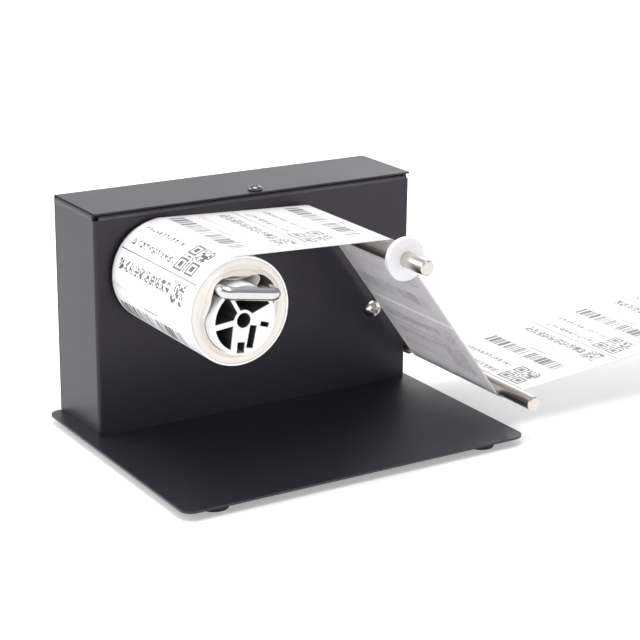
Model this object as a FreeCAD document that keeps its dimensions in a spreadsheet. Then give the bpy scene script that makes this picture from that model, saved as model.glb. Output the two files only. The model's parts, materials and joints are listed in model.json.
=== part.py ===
import FreeCAD, Part
import math
import os

# External label rewinder: a sheet metal box on a base plate, with a driven spindle that winds up a web of
# labels, a fixed upper guide rod and a lower guide rod on a spring loaded swing arm.
# Frame: origin on the surface the feet stand on, under the middle of the base plate; +Z up, front towards -Y.

Vector = FreeCAD.Vector
Rotation = FreeCAD.Rotation
Placement = FreeCAD.Placement

doc = FreeCAD.newDocument("label_rewinder")
sheet = doc.addObject("Spreadsheet::Sheet", "dims")

# Driving sizes in millimetres, angles in degrees. Insets run from the body's left side, the pivot's setback
# from its right side, the spring's and switch's offsets from the pivot, heights from the base plate's top.
SIZES = {
    "base_gauge": 1.5, "base_corner": 8.0, "left_overhang": 10.0, "right_overhang": 3.0, "front_reach": 138.0,
    "foot_diameter": 20.0, "foot_draft": 1.0, "foot_height": 5.0, "foot_side_inset": 27.0,
    "foot_end_inset": 14.3,
    "body_width": 240.0, "body_depth": 60.0, "shell_height": 148.3, "sheet_gauge": 1.5, "bend_radius": 2.2,
    "flange_width": 14.0, "corner_relief": 3.5, "lid_gauge": 1.2, "cover_lift": 0.5,
    "tab_size": 16.0, "front_tab_inset": 30.0, "rear_tab_inset": 26.0,
    "fit_gap": 0.3, "running_gap": 0.03, "hole_gap": 0.2,
    "screw3": 3.0, "screw3_head": 6.0, "screw3_head_height": 2.0,
    "screw4": 4.0, "screw4_head": 8.0, "screw4_head_height": 2.4,
    "screw5": 5.0, "screw5_head": 10.0, "screw5_head_height": 3.2,
    "screw6": 6.0, "screw6_head": 12.0, "screw6_head_height": 4.4,
    "lid_screw_inset": 121.0, "lid_screw_setback": 7.0, "back_screw_inset": 7.5, "back_screw_edge": 24.0,
    "spindle_inset": 43.06, "spindle_height": 104.54, "shaft_diameter": 8.0, "shaft_socket": 12.0,
    "bush_diameter": 14.0, "bush_flange": 18.0, "bush_flange_gauge": 1.5,
    "motor_plate_size": 56.0, "motor_plate_gauge": 3.0, "motor_plate_hole_pitch": 36.0,
    "gearbox_diameter": 36.0, "gearbox_length": 24.0, "gearbox_hole_circle": 28.0,
    "gearbox_screw_length": 8.0, "motor_diameter": 34.0, "motor_boss": 10.0, "motor_clearance": 4.0,
    "terminal_height": 2.0, "terminal_pitch": 22.0, "terminal_width": 2.8, "terminal_gauge": 0.8,
    "mandrel_diameter": 43.4, "mandrel_wall": 2.3, "mandrel_gap": 3.5, "mandrel_reach": 114.5,
    "hub_diameter": 13.0, "hub_mouth": 9.4, "hub_mouth_depth": 16.0, "hub_screw_head": 9.0,
    "left_spoke_angle": 186.0, "left_spoke_width": 3.4, "upper_spoke_angle": 119.0, "upper_spoke_width": 2.2,
    "web_block_angle": 19.5, "web_block_offset": 1.25, "web_block_left": 6.7, "left_wall_angle": -97.0,
    "relief_slot_width": 4.8, "relief_slot_angle": -102.0, "relief_slot_offset": 7.5,
    "relief_slot_start": 3.9, "notch_width": 5.2, "notch_depth": 7.0, "notch_angle": -97.0,
    "pocket_length": 6.0, "pocket_width": 3.0, "pocket_angle": -18.0, "pocket_wall": 1.3,
    "fork_diameter": 8.0, "fork_sink": 0.951, "fork_tilt": -9.4, "fork_bend": 5.0,
    "fork_gap": 1.0, "fork_reach": 84.0,
    "wound_depth": 12.3, "roll_shift": 0.77, "roll_rise": 3.53,
    "web_width": 100.0, "web_margin": 7.0, "web_gauge": 0.3,
    "rod_diameter": 10.0, "rod_chamfer": 0.8, "rod_thread_depth": 14.0,
    "upper_rod_inset": 151.5, "upper_rod_height": 130.0, "upper_rod_length": 150.0,
    "collar_diameter": 28.0, "collar_width": 4.0, "collar_setback": 23.0, "collar_edge": 0.8,
    "bend_standoff": 3.0,
    "pivot_setback": 28.6, "pivot_height": 55.1, "washer_gauge": 1.5, "washer_diameter": 14.0,
    "arm_gauge": 3.0, "arm_width": 12.0, "arm_pivot_diameter": 16.0, "arm_end_diameter": 14.0,
    "arm_bush_diameter": 9.0, "arm_tail_length": 34.0, "arm_tail_width": 8.0, "arm_play": 0.2,
    "swing_up": 28.0, "slot_margin": 2.5, "arm_side_gap": 1.0,
    "lower_rod_overhang": 7.0, "lower_rod_height": 21.5, "lower_rod_reach": 140.0,
    "tail_rise": 5.0, "tail_length": 212.0,
    "stop_diameter": 5.0, "stop_length": 7.0, "stop_distance": 24.0,
    "spring_diameter": 5.0, "spring_wire": 1.0, "spring_reach": 32.0, "spring_offset": 30.9,
    "spring_coil_length": 22.0, "post_diameter": 4.0, "post_length": 9.0,
    "switch_length": 20.0, "switch_height": 10.0, "switch_depth": 6.4, "switch_bracket_gauge": 1.5,
    "switch_offset": 27.4, "plunger_length": 2.4, "plunger_width": 3.0, "plunger_travel": 1.0,
    "plunger_offset": 16.4,
    "board_width": 60.0, "board_height": 45.0, "board_gauge": 1.6, "board_inset": 92.0, "board_level": 70.0,
    "standoff_length": 8.0, "standoff_width": 5.5, "board_hole_inset": 4.0,
    "capacitor_diameter": 8.0, "capacitor_height": 12.0,
    "control_height": 36.0, "rocker_inset": 62.0, "knob_inset": 100.0, "inlet_inset": 136.0,
    "rocker_width": 15.0, "rocker_height": 21.0, "rocker_bezel": 2.0, "rocker_body_depth": 16.0,
    "rocker_rim": 1.0, "rocker_button_width": 10.4, "rocker_radius": 8.0, "rocker_dish": 14.0,
    "rocker_dish_depth": 1.2,
    "pot_diameter": 16.0, "pot_depth": 8.0, "pot_bush_diameter": 7.0, "pot_bush_length": 5.2,
    "pot_shaft_diameter": 6.0, "pot_nut_width": 10.0, "pot_nut_height": 2.0,
    "knob_diameter": 18.0, "knob_top_diameter": 15.0, "knob_length": 13.0, "knob_flute": 2.0,
    "knob_mark": 1.0,
    "inlet_diameter": 11.0, "inlet_flange": 14.0, "inlet_flange_gauge": 2.0, "inlet_depth": 13.0,
    "inlet_bore": 6.4, "inlet_bore_depth": 9.0, "inlet_pin": 2.0, "inlet_nut_width": 15.0,
    "inlet_nut_height": 3.0,
    "vent_width": 3.0, "vent_height": 22.0, "vent_pitch": 9.0, "vent_inset": 22.0, "vent_level": 112.0,
}
VENTS = 7
FLUTES = 12

for row, (alias, size) in enumerate(SIZES.items(), start=1):
    sheet.set(f"A{row}", alias)
    sheet.set(f"B{row}", str(size))
    sheet.setAlias(f"B{row}", alias)
doc.recompute()

# Datums of the body: its left side, the outer face of its front panel and the top of the base plate.
BASE_WIDTH = "(dims.left_overhang + dims.body_width + dims.right_overhang)"
BASE_DEPTH = "(dims.front_reach + dims.body_depth)"
LEFT = f"(dims.left_overhang - {BASE_WIDTH} / 2)"
FRONT = f"({BASE_DEPTH} / 2 - dims.body_depth)"
DECK = "(dims.foot_height + dims.base_gauge)"
DATUMS = {"body": (LEFT, FRONT, DECK), "ground": ("0", "0", "0")}

# Turns that carry a piece built along its own +Z. Forwards keeps X, and the piece's Y becomes the body's Z.
UPWARDS = Rotation()
FORWARDS = Rotation(Vector(1, 0, 0), 90)
BACKWARDS = Rotation(Vector(1, 0, 0), -90)
DOWNWARDS = Rotation(Vector(1, 0, 0), 180)

# Depths behind the front panel's outer face that several pieces share.
PANEL_INSIDE = "dims.sheet_gauge"
BACK_INSIDE = "(dims.body_depth - dims.lid_gauge)"
BACK_OUTSIDE = "dims.body_depth"
ARM_FRONT = "(dims.sheet_gauge + dims.washer_gauge + dims.arm_play)"
ARM_BACK = f"({ARM_FRONT} + dims.arm_gauge)"
WEB_BACK = "(-dims.web_margin)"

# Places along the body's width that hang on its right side.
PIVOT_X = "(dims.body_width - dims.pivot_setback)"
LOWER_ROD_X = "(dims.body_width + dims.lower_rod_overhang)"
SPRING_X = f"({PIVOT_X} - dims.spring_offset)"
SWITCH_X = f"({PIVOT_X} - dims.switch_offset)"
PLUNGER_X = f"({PIVOT_X} - dims.plunger_offset)"

# Size of the roll and place of the fork's prongs, which lie in grooves of the mandrel.
ROLL_RADIUS = "(dims.mandrel_diameter / 2 + dims.wound_depth)"
PRONG_OFFSET = "((dims.mandrel_diameter / 2 + dims.fork_diameter / 2 - dims.fork_sink) * sqrt(0.5))"

nodes = []


def number(expression):
    """Value of an expression of the sheet's sizes."""
    return float(sheet.evalExpression(expression))


def bind(item, **sizes):
    """Tie properties to expressions of the sheet's sizes."""
    for name, expression in sizes.items():
        item.setExpression(name, expression)
    return item


def place(item, x, y, z, turn=UPWARDS, datum="body"):
    """Put a piece at a point measured from a datum, after turning it."""
    item.Placement = Placement(Vector(), turn)
    for axis, start, offset in zip("xyz", DATUMS[datum], (x, y, z)):
        item.setExpression(f"Placement.Base.{axis}", f"{start} + ({offset})")
    return item


def local(item, x="0", y="0", z="0", turn=UPWARDS):
    """Put a building block at a point of the frame that its own piece is built in."""
    item.Placement = Placement(Vector(), turn)
    for axis, offset in zip("xyz", (x, y, z)):
        item.setExpression(f"Placement.Base.{axis}", offset)
    return item


def block(length, width, height, x="0", y="0", z="0"):
    item = doc.addObject("Part::Box", "block")
    bind(item, Length=length, Width=width, Height=height)
    return local(item, x, y, z)


def cylinder(diameter, length, x="0", y="0", z="0", turn=UPWARDS):
    item = doc.addObject("Part::Cylinder", "cylinder")
    bind(item, Radius=f"({diameter}) / 2", Height=length)
    return local(item, x, y, z, turn)


def frustum(bottom, top, length, z="0"):
    item = doc.addObject("Part::Cone", "frustum")
    bind(item, Radius1=f"({bottom}) / 2", Radius2=f"({top}) / 2", Height=length)
    return local(item, z=z)


def hexagon(width, length, x="0", y="0", z="0"):
    """Hexagonal bar, its width across flats."""
    item = doc.addObject("Part::Prism", "hexagon")
    item.Polygon = 6
    bind(item, Circumradius=f"({width}) / (2 * cos(30))", Height=length)
    return local(item, x, y, z)


def spoke(length, width, height, angle, start="0", offset="0", z="0"):
    """Bar that lies along an angle of the piece's XY plane, centred on a line beside the axis."""
    item = doc.addObject("Part::Box", "spoke")
    bind(item, Length=length, Width=width, Height=height)
    turn = Rotation(Vector(0, 0, 1), number(angle))
    corner = Vector(number(start), number(offset) - number(width) / 2, number(z))
    item.Placement = Placement(turn.multVec(corner), turn)
    return item


def fuse(*items):
    item = doc.addObject("Part::MultiFuse", "union")
    item.Shapes = list(items)
    item.Refine = True
    return item


def cut(base, *tools):
    item = doc.addObject("Part::Cut", "cut")
    item.Base = base
    item.Tool = tools[0] if len(tools) == 1 else fuse(*tools)
    item.Refine = True
    return item


def common(base, tool):
    item = doc.addObject("Part::Common", "common")
    item.Base = base
    item.Tool = tool
    return item


def group(*items):
    item = doc.addObject("Part::Compound", "group")
    item.Links = list(items)
    return item


def rounded(base, radius, chosen):
    """Round the edges of a building block that a test picks by their middle and direction."""
    doc.recompute()
    size = number(radius)
    picks = []
    for index, edge in enumerate(base.Shape.Edges, start=1):
        if chosen(edge):
            picks.append((index, size, size))
    item = doc.addObject("Part::Fillet", "rounded")
    item.Base = base
    item.Edges = picks
    return item


def runs_along(edge, axis):
    """True for a straight edge along an axis."""
    if not isinstance(edge.Curve, Part.Line):
        return False
    return abs(edge.Curve.Direction.dot(axis)) > 0.999


def ring_at(height):
    """Test for a whole circle at a height of the piece's own frame."""
    def chosen(edge):
        return isinstance(edge.Curve, Part.Circle) and abs(edge.CenterOfMass.z - height) < 1e-6
    return chosen


def node(label, item):
    """Name a finished sub-part."""
    item.Label = label
    nodes.append(item)
    return item


def screw(size, length, head=None):
    """Pan head screw along +Z from the underside of its head, with a cross recess."""
    head = head or f"dims.{size}_head"
    head_height = f"dims.{size}_head_height"
    cap = cylinder(head, head_height, turn=DOWNWARDS)
    crown = rounded(cap, f"{head_height} * 0.6", ring_at(-number(head_height)))
    whole = fuse(crown, cylinder(f"dims.{size}", length))
    arm = f"{head} * 0.56"
    slit = f"{head} * 0.13"
    depth = f"{head_height} * 0.55"
    top = f"-{head_height}"
    across = block(arm, slit, depth, f"-{arm} / 2", f"-{slit} / 2", top)
    along = block(slit, arm, depth, f"-{slit} / 2", f"-{arm} / 2", top)
    return cut(whole, across, along)


def clear(size):
    """Diameter of a clearance hole."""
    return f"dims.{size} + 2 * dims.hole_gap"


def snug(size):
    """Diameter of a hole that a piece turns in, or of a thread."""
    return f"dims.{size} + 2 * dims.running_gap"


def nut(size, width, height):
    """Hexagonal nut along +Z."""
    return cut(hexagon(width, height), cylinder(snug(size), height))


def base_and_feet():
    half_width = f"{BASE_WIDTH} / 2"
    half_depth = f"{BASE_DEPTH} / 2"
    plate = block(BASE_WIDTH, BASE_DEPTH, "dims.base_gauge", f"-{half_width}", f"-{half_depth}",
                  "dims.foot_height")
    plate = rounded(plate, "dims.base_corner", lambda edge: runs_along(edge, Vector(0, 0, 1)))
    holes = []
    screws = []
    nuts = []
    for x, y in tab_centres():
        hole = cylinder(clear("screw4"), "dims.base_gauge")
        holes.append(place(hole, x, y, "-dims.base_gauge"))
        length = "dims.base_gauge + dims.sheet_gauge + dims.screw4"
        screws.append(place(screw("screw4", length), x, y, "-dims.base_gauge"))
        nuts.append(place(nut("screw4", "dims.screw4 * 1.75", "dims.screw4 * 0.8"), x, y, "dims.sheet_gauge"))
    node("base_plate", cut(plate, *holes))
    node("base_screws", group(*screws))
    node("base_nuts", group(*nuts))

    feet = []
    for side in (-1, 1):
        for end in (-1, 1):
            narrow = "dims.foot_diameter - 2 * dims.foot_draft"
            pad = frustum(narrow, "dims.foot_diameter", "dims.foot_height")
            x = f"{side} * ({half_width} - dims.foot_side_inset)"
            y = f"{end} * ({half_depth} - dims.foot_end_inset)"
            feet.append(place(pad, x, y, "0", datum="ground"))
    node("rubber_feet", group(*feet))


def tab_centres():
    """Middles of the four tabs that hold the shell to the base plate."""
    half = "dims.tab_size / 2"
    near = f"dims.sheet_gauge + {half}"
    right = "dims.body_width"
    front_y = near
    rear_y = f"{BACK_INSIDE} - dims.sheet_gauge - dims.rear_tab_inset - {half}"
    return [
        (f"dims.front_tab_inset + {half}", front_y),
        (f"{right} - dims.front_tab_inset - {half}", front_y),
        (near, rear_y),
        (f"{right} - ({near})", rear_y),
    ]


def back_screw_points():
    left = "dims.back_screw_inset"
    right = "dims.body_width - dims.back_screw_inset"
    low = "dims.back_screw_edge"
    high = "dims.shell_height - dims.back_screw_edge"
    return [(left, low), (right, low), (left, high), (right, high)]


def corners(centre_x, centre_z, pitch_x, pitch_z):
    """Four points of a rectangle about a centre."""
    points = []
    for side in (-1, 1):
        for end in (-1, 1):
            points.append((f"{centre_x} + {side} * {pitch_x} / 2", f"{centre_z} + {end} * {pitch_z} / 2"))
    return points


SPINDLE = ("dims.spindle_inset", "dims.spindle_height")
PLATE_POINTS = corners(*SPINDLE, "dims.motor_plate_hole_pitch", "dims.motor_plate_hole_pitch")
GEARBOX_PITCH = "dims.gearbox_hole_circle * sqrt(0.5)"
GEARBOX_POINTS = corners(*SPINDLE, GEARBOX_PITCH, GEARBOX_PITCH)
BOARD_CENTRE = ("dims.board_inset + dims.board_width / 2", "dims.board_level + dims.board_height / 2")
BOARD_POINTS = corners(*BOARD_CENTRE, "(dims.board_width - 2 * dims.board_hole_inset)",
                       "(dims.board_height - 2 * dims.board_hole_inset)")


def front_shell():
    """Front, sides and return flanges, bent from one sheet; open underneath."""
    depth = BACK_INSIDE
    gauge = "dims.sheet_gauge"
    outer = block("dims.body_width", depth, "dims.shell_height")

    def bent(edge):
        middle = edge.CenterOfMass
        upright = runs_along(edge, Vector(0, 0, 1)) and middle.y < 1
        top = abs(middle.z - number("dims.shell_height")) < 1e-6 and middle.y < number(depth) - 1
        return upright or top

    skin = rounded(outer, "dims.bend_radius", bent)
    inside = block(f"dims.body_width - 2 * {gauge}", f"{depth} - 2 * {gauge}", f"dims.shell_height - {gauge}",
                   gauge, gauge, "0")
    window_width = "dims.body_width - 2 * dims.flange_width"
    flange = "dims.flange_width"
    below_flange = f"dims.shell_height - {flange}"
    top_window = block(window_width, f"{depth} - 2 * {flange}", flange, flange, flange, below_flange)
    back_window = block(window_width, flange, below_flange, flange, f"{depth} - {flange}", "0")
    relief = "dims.corner_relief"
    reliefs = []
    for x in ("0", f"dims.body_width - {relief}"):
        reliefs.append(block(relief, relief, relief, x, "0", f"dims.shell_height - {relief}"))
    skin = cut(skin, inside, top_window, back_window, *reliefs)

    tabs = []
    for x, y in tab_centres():
        half = "dims.tab_size / 2"
        tabs.append(block("dims.tab_size", "dims.tab_size", gauge, f"{x} - {half}", f"{y} - {half}", "0"))
    openings = [slot_for_arm()]
    for x, y in tab_centres():
        openings.append(cylinder(clear("screw4"), gauge, x, y))
    for (x, z), size in (
        (SPINDLE, "dims.bush_diameter"),
        (("dims.upper_rod_inset", "dims.upper_rod_height"), clear("screw5")),
        ((PIVOT_X, "dims.pivot_height"), clear("screw6")),
    ):
        openings.append(cylinder(size, gauge, x, gauge, z, FORWARDS))
    for x, z in PLATE_POINTS:
        openings.append(cylinder(clear("screw3"), gauge, x, gauge, z, FORWARDS))
    for x, z in back_screw_points():
        openings.append(cylinder(clear("screw4"), gauge, x, depth, z, FORWARDS))
    openings.append(cylinder(clear("screw5"), gauge, "dims.lid_screw_inset",
                             "dims.lid_screw_setback", f"dims.shell_height - {gauge}"))
    node("front_shell", place(cut(fuse(skin, *tabs), *openings), "0", "0", "0"))


def arm_angle():
    """Angle of the swing arm at rest, in the front view."""
    rise = number("dims.lower_rod_height - dims.pivot_height")
    run = number(f"{LOWER_ROD_X} - {PIVOT_X}")
    return math.degrees(math.atan2(rise, run))


def arm_length():
    rise = number("dims.lower_rod_height - dims.pivot_height")
    run = number(f"{LOWER_ROD_X} - {PIVOT_X}")
    return math.hypot(rise, run)


def slot_for_arm():
    """Slot in the right side that the arm comes out of over its whole swing."""
    rest = math.radians(arm_angle())
    raised = math.radians(arm_angle() + number("dims.swing_up"))
    reach = number("dims.pivot_setback - dims.sheet_gauge")
    half = number("dims.arm_end_diameter") / 2
    margin = number("dims.slot_margin")
    low = number("dims.pivot_height") + number("dims.pivot_setback") * math.tan(rest)
    high = number("dims.pivot_height") + reach * math.tan(raised)
    bottom = low - half / math.cos(rest) - margin
    top = high + half / math.cos(raised) + margin
    side_gap = "dims.arm_side_gap"
    return block("3 * dims.sheet_gauge", f"dims.arm_gauge + 2 * {side_gap}", f"{top - bottom}",
                 "dims.body_width - 2 * dims.sheet_gauge", f"{ARM_FRONT} - {side_gap}", f"{bottom}")


def rear_cover():
    """Lid and back panel in one bent sheet, lying on the shell's flanges."""
    gauge = "dims.lid_gauge"
    lid = block("dims.body_width", "dims.body_depth", gauge, z="dims.shell_height")
    back = block("dims.body_width", gauge, f"dims.shell_height + {gauge} - dims.cover_lift", y=BACK_INSIDE,
                 z="dims.cover_lift")
    top = number("dims.shell_height + dims.lid_gauge")
    rear = number("dims.body_depth")

    def bend(edge):
        middle = edge.CenterOfMass
        return abs(middle.z - top) < 1e-6 and abs(middle.y - rear) < 1e-6

    skin = rounded(fuse(lid, back), gauge, bend)
    openings = [cylinder(clear("screw5"), gauge, "dims.lid_screw_inset",
                         "dims.lid_screw_setback", "dims.shell_height")]
    holes = []
    for point in back_screw_points():
        holes.append((point, clear("screw4")))
    for point in BOARD_POINTS:
        holes.append((point, clear("screw3")))
    holes.append((("dims.knob_inset", "dims.control_height"), clear("pot_bush_diameter")))
    holes.append((("dims.inlet_inset", "dims.control_height"), clear("inlet_diameter")))
    for (x, z), size in holes:
        openings.append(cylinder(size, gauge, x, BACK_OUTSIDE, z, FORWARDS))
    cutout_width = "(dims.rocker_width - 2 * dims.rocker_rim + 2 * dims.hole_gap)"
    cutout_height = "(dims.rocker_height - 2 * dims.rocker_rim + 2 * dims.hole_gap)"
    openings.append(block(cutout_width, gauge, cutout_height, f"dims.rocker_inset - {cutout_width} / 2",
                          BACK_INSIDE, f"dims.control_height - {cutout_height} / 2"))
    for index in range(VENTS):
        x = f"dims.vent_inset + {index} * dims.vent_pitch - dims.vent_width / 2"
        vent = block("dims.vent_width", gauge, "dims.vent_height", x, BACK_INSIDE, "dims.vent_level")
        openings.append(vent)
    node("rear_cover", place(cut(skin, *openings), "0", "0", "0"))


def cover_fasteners():
    length = "dims.lid_gauge + dims.sheet_gauge + dims.screw5 * 1.2"
    lid_screw = screw("screw5", length)
    node("lid_screw", place(lid_screw, "dims.lid_screw_inset", "dims.lid_screw_setback",
                            "dims.shell_height + dims.lid_gauge", DOWNWARDS))
    lid_nut = nut("screw5", "dims.screw5 * 1.6", "dims.screw5 * 0.8")
    node("lid_nut", place(lid_nut, "dims.lid_screw_inset", "dims.lid_screw_setback",
                          "dims.shell_height - dims.sheet_gauge", DOWNWARDS))
    screws = []
    nuts = []
    for x, z in back_screw_points():
        length = "dims.lid_gauge + dims.sheet_gauge + dims.screw4"
        screws.append(place(screw("screw4", length), x, BACK_OUTSIDE, z, FORWARDS))
        plain_nut = nut("screw4", "dims.screw4 * 1.75", "dims.screw4 * 0.8")
        nuts.append(place(plain_nut, x, f"{BACK_INSIDE} - dims.sheet_gauge", z, FORWARDS))
    node("back_screws", group(*screws))
    node("back_nuts", group(*nuts))


def motor():
    """Gear motor on a plate behind the front panel, with the bush that carries the spindle."""
    gauge = "dims.motor_plate_gauge"
    side = "dims.motor_plate_size"
    plate = block(side, gauge, side, f"dims.spindle_inset - {side} / 2", PANEL_INSIDE,
                  f"dims.spindle_height - {side} / 2")
    plate_back = f"({PANEL_INSIDE} + {gauge})"
    tools = [cylinder("dims.bush_diameter", gauge, SPINDLE[0], plate_back, SPINDLE[1], FORWARDS)]
    screws = []
    nuts = []
    for x, z in PLATE_POINTS:
        tools.append(cylinder(clear("screw3"), gauge, x, plate_back, z, FORWARDS))
        length = f"dims.sheet_gauge + {gauge} + dims.screw3"
        screws.append(place(screw("screw3", length), x, "0", z, BACKWARDS))
        plain_nut = nut("screw3", "dims.screw3 * 1.8", "dims.screw3 * 0.8")
        nuts.append(place(plain_nut, x, plate_back, z, BACKWARDS))
    sunk = "dims.screw3_head_height"
    gearbox_screws = []
    for x, z in GEARBOX_POINTS:
        tools.append(cylinder(clear("screw3_head"), sunk, x, f"{PANEL_INSIDE} + {sunk}", z, FORWARDS))
        tools.append(cylinder(clear("screw3"), gauge, x, plate_back, z, FORWARDS))
        short = screw("screw3", "dims.gearbox_screw_length")
        gearbox_screws.append(place(short, x, f"{PANEL_INSIDE} + {sunk}", z, BACKWARDS))
    node("motor_plate", place(cut(plate, *tools), "0", "0", "0"))
    node("motor_plate_screws", group(*screws))
    node("motor_plate_nuts", group(*nuts))
    node("gearbox_screws", group(*gearbox_screws))

    case = cylinder("dims.gearbox_diameter", "dims.gearbox_length", SPINDLE[0], plate_back, SPINDLE[1],
                    BACKWARDS)
    bore = cylinder(snug("shaft_diameter"), "dims.shaft_socket + dims.fit_gap",
                    SPINDLE[0], plate_back, SPINDLE[1], BACKWARDS)
    taps = []
    for x, z in GEARBOX_POINTS:
        taps.append(cylinder(snug("screw3"), "dims.gearbox_screw_length", x, plate_back, z,
                             BACKWARDS))
    node("gearbox_housing", place(cut(case, bore, *taps), "0", "0", "0"))

    case_back = f"({plate_back} + dims.gearbox_length)"
    can_back = f"({BACK_INSIDE} - dims.motor_clearance)"
    can = cylinder("dims.motor_diameter", f"{can_back} - {case_back}", SPINDLE[0], case_back, SPINDLE[1],
                   BACKWARDS)
    boss = cylinder("dims.motor_boss", "dims.terminal_height", SPINDLE[0], can_back, SPINDLE[1], BACKWARDS)
    lugs = []
    for side in (-1, 1):
        x = f"dims.spindle_inset + {side} * dims.terminal_pitch / 2 - dims.terminal_width / 2"
        lugs.append(block("dims.terminal_width", "dims.terminal_height", "dims.terminal_gauge", x, can_back,
                          "dims.spindle_height"))
    node("motor_can", place(fuse(can, boss, *lugs), "0", "0", "0"))

    sleeve_length = f"{PANEL_INSIDE} + {gauge}"
    sleeve = cylinder("dims.bush_diameter", sleeve_length)
    flange = cylinder("dims.bush_flange", "dims.bush_flange_gauge", turn=DOWNWARDS)
    through = cylinder(snug("shaft_diameter"), f"{sleeve_length} + dims.bush_flange_gauge",
                       z="-dims.bush_flange_gauge")
    node("spindle_bush", place(cut(fuse(sleeve, flange), through), SPINDLE[0], "0", SPINDLE[1], BACKWARDS))


def along_fork(along, above):
    """Point of the front view, from the spindle, given along the fork's tilted bar and square to it."""
    return Rotation(Vector(0, 0, 1), number("dims.fork_tilt")).multVec(Vector(along, above, 0))


def spindle():
    """Shaft, mandrel and the screw that joins them; the mandrel is built along its axis, front upwards."""
    socket_depth = f"({PANEL_INSIDE} + dims.motor_plate_gauge + dims.shaft_socket)"
    shoulder = "(dims.mandrel_reach - dims.hub_mouth_depth)"
    shaft = cylinder("dims.shaft_diameter", f"{socket_depth} + {shoulder}", z=f"-{socket_depth}")
    thread = cylinder("dims.screw5", "dims.rod_thread_depth", z=f"{shoulder} - dims.rod_thread_depth")
    node("spindle_shaft", place(cut(shaft, thread), SPINDLE[0], "0", SPINDLE[1], FORWARDS))

    fixing = screw("screw5", "dims.rod_thread_depth - 1", "dims.hub_screw_head")
    node("mandrel_screw", place(fixing, SPINDLE[0], f"-{shoulder}", SPINDLE[1], BACKWARDS))

    length = "(dims.mandrel_reach - dims.mandrel_gap)"
    inner = "(dims.mandrel_diameter - 2 * dims.mandrel_wall)"
    middle = "(dims.mandrel_diameter - dims.mandrel_wall)"
    radius = f"{middle} / 2"
    rim = cut(cylinder("dims.mandrel_diameter", length), cylinder(inner, length))
    hub = cylinder("dims.hub_diameter", length)
    left_spoke = spoke(radius, "dims.left_spoke_width", length, "dims.left_spoke_angle")
    upper_spoke = spoke(radius, "dims.upper_spoke_width", length, "dims.upper_spoke_angle")
    # The solid lower right part of the section: below a slanting line, right of a nearly upright wall.
    below = spoke(f"2 * {middle}", middle, length, "dims.web_block_angle", f"-{middle}",
                  f"dims.web_block_offset - {radius}")
    left_side = spoke(middle, middle, length, "dims.left_wall_angle", f"-{radius}",
                      f"-dims.web_block_left - {radius}")
    solid = cut(common(cylinder(middle, length), below), left_side)
    section = fuse(rim, hub, left_spoke, upper_spoke, solid)
    slot_length = f"({inner} / 2 - dims.relief_slot_start - dims.pocket_wall)"
    relief_slot = spoke(slot_length, "dims.relief_slot_width", length, "dims.relief_slot_angle",
                        "dims.relief_slot_start - dims.pocket_wall", "dims.relief_slot_offset")
    notch = spoke("dims.notch_depth", "dims.notch_width", length, "dims.notch_angle",
                  f"{inner} / 2 - dims.notch_depth + dims.mandrel_wall / 2")
    pocket = spoke("dims.pocket_length", "dims.pocket_width", length, "dims.pocket_angle",
                   f"{inner} / 2 - dims.pocket_length - dims.pocket_wall")
    grooves = []
    for side in (-1, 1):
        prong = along_fork(side * number(PRONG_OFFSET), number(PRONG_OFFSET))
        grooves.append(cylinder("dims.fork_diameter + 2 * dims.fit_gap", length, f"{prong.x}", f"{prong.y}"))
    bore = cylinder("dims.shaft_diameter", length)
    mouth = cylinder("dims.hub_mouth", "dims.hub_mouth_depth", z=f"{length} - dims.hub_mouth_depth")
    mandrel = cut(section, relief_slot, notch, pocket, bore, mouth, *grooves)
    node("mandrel", place(mandrel, SPINDLE[0], "-dims.mandrel_gap", SPINDLE[1], FORWARDS))


def turned_forwards(angle):
    """Turn of a piece built front upwards that also lies at an angle in the front view."""
    return FORWARDS.multiply(Rotation(Vector(0, 0, 1), number(angle)))


def clamp_fork():
    """U shaped bar whose two prongs hold the end of the web against the mandrel."""
    half = PRONG_OFFSET
    across = PRONG_OFFSET
    straight = "(dims.fork_reach - dims.fork_bend)"
    sideways = Rotation(Vector(0, 1, 0), 90)
    wire = "dims.fork_diameter"
    pieces = [cylinder(wire, f"2 * ({half} - dims.fork_bend)", f"dims.fork_bend - {half}", across, "0",
                       sideways)]
    upright = Rotation(Vector(1, 0, 0), 90)
    for side, quarter in ((1, 0), (-1, -90)):
        pieces.append(cylinder(wire, straight, f"{side} * {half}", across, "-dims.fork_reach"))
        elbow = doc.addObject("Part::Torus", "elbow")
        bind(elbow, Radius1="dims.fork_bend", Radius2=f"{wire} / 2")
        elbow.Angle3 = 90
        turn = Rotation(Vector(0, 1, 0), quarter).multiply(upright)
        pieces.append(local(elbow, f"{side} * ({half} - dims.fork_bend)", across, "-dims.fork_bend", turn))
    depth = "-(dims.mandrel_reach + dims.fork_gap + dims.fork_diameter / 2)"
    node("clamp_fork", place(fuse(*pieces), SPINDLE[0], depth, SPINDLE[1], turned_forwards("dims.fork_tilt")))


def label_roll():
    """Wound web, its hole drawn round the mandrel and the fork's prongs, which push the roll to one side."""
    width = "dims.web_width"
    wound = cylinder(f"2 * {ROLL_RADIUS}", width, "dims.roll_shift", "dims.roll_rise")
    core = cylinder("dims.mandrel_diameter + 2 * dims.fit_gap", width)
    reach = "(dims.fork_diameter / 2 + dims.fit_gap)"
    lap = block(f"2 * ({PRONG_OFFSET} + {reach})", f"{PRONG_OFFSET} + {reach}", width,
                f"-{PRONG_OFFSET} - {reach}", "0", "0")
    far = number(f"{PRONG_OFFSET} + {reach}")

    def round_prong(edge):
        return runs_along(edge, Vector(0, 0, 1)) and abs(edge.CenterOfMass.y - far) < 1e-6

    lap = rounded(lap, reach, round_prong)
    roll = cut(wound, core, lap)
    node("label_roll", place(roll, SPINDLE[0], WEB_BACK, SPINDLE[1], turned_forwards("dims.fork_tilt")))


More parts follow.
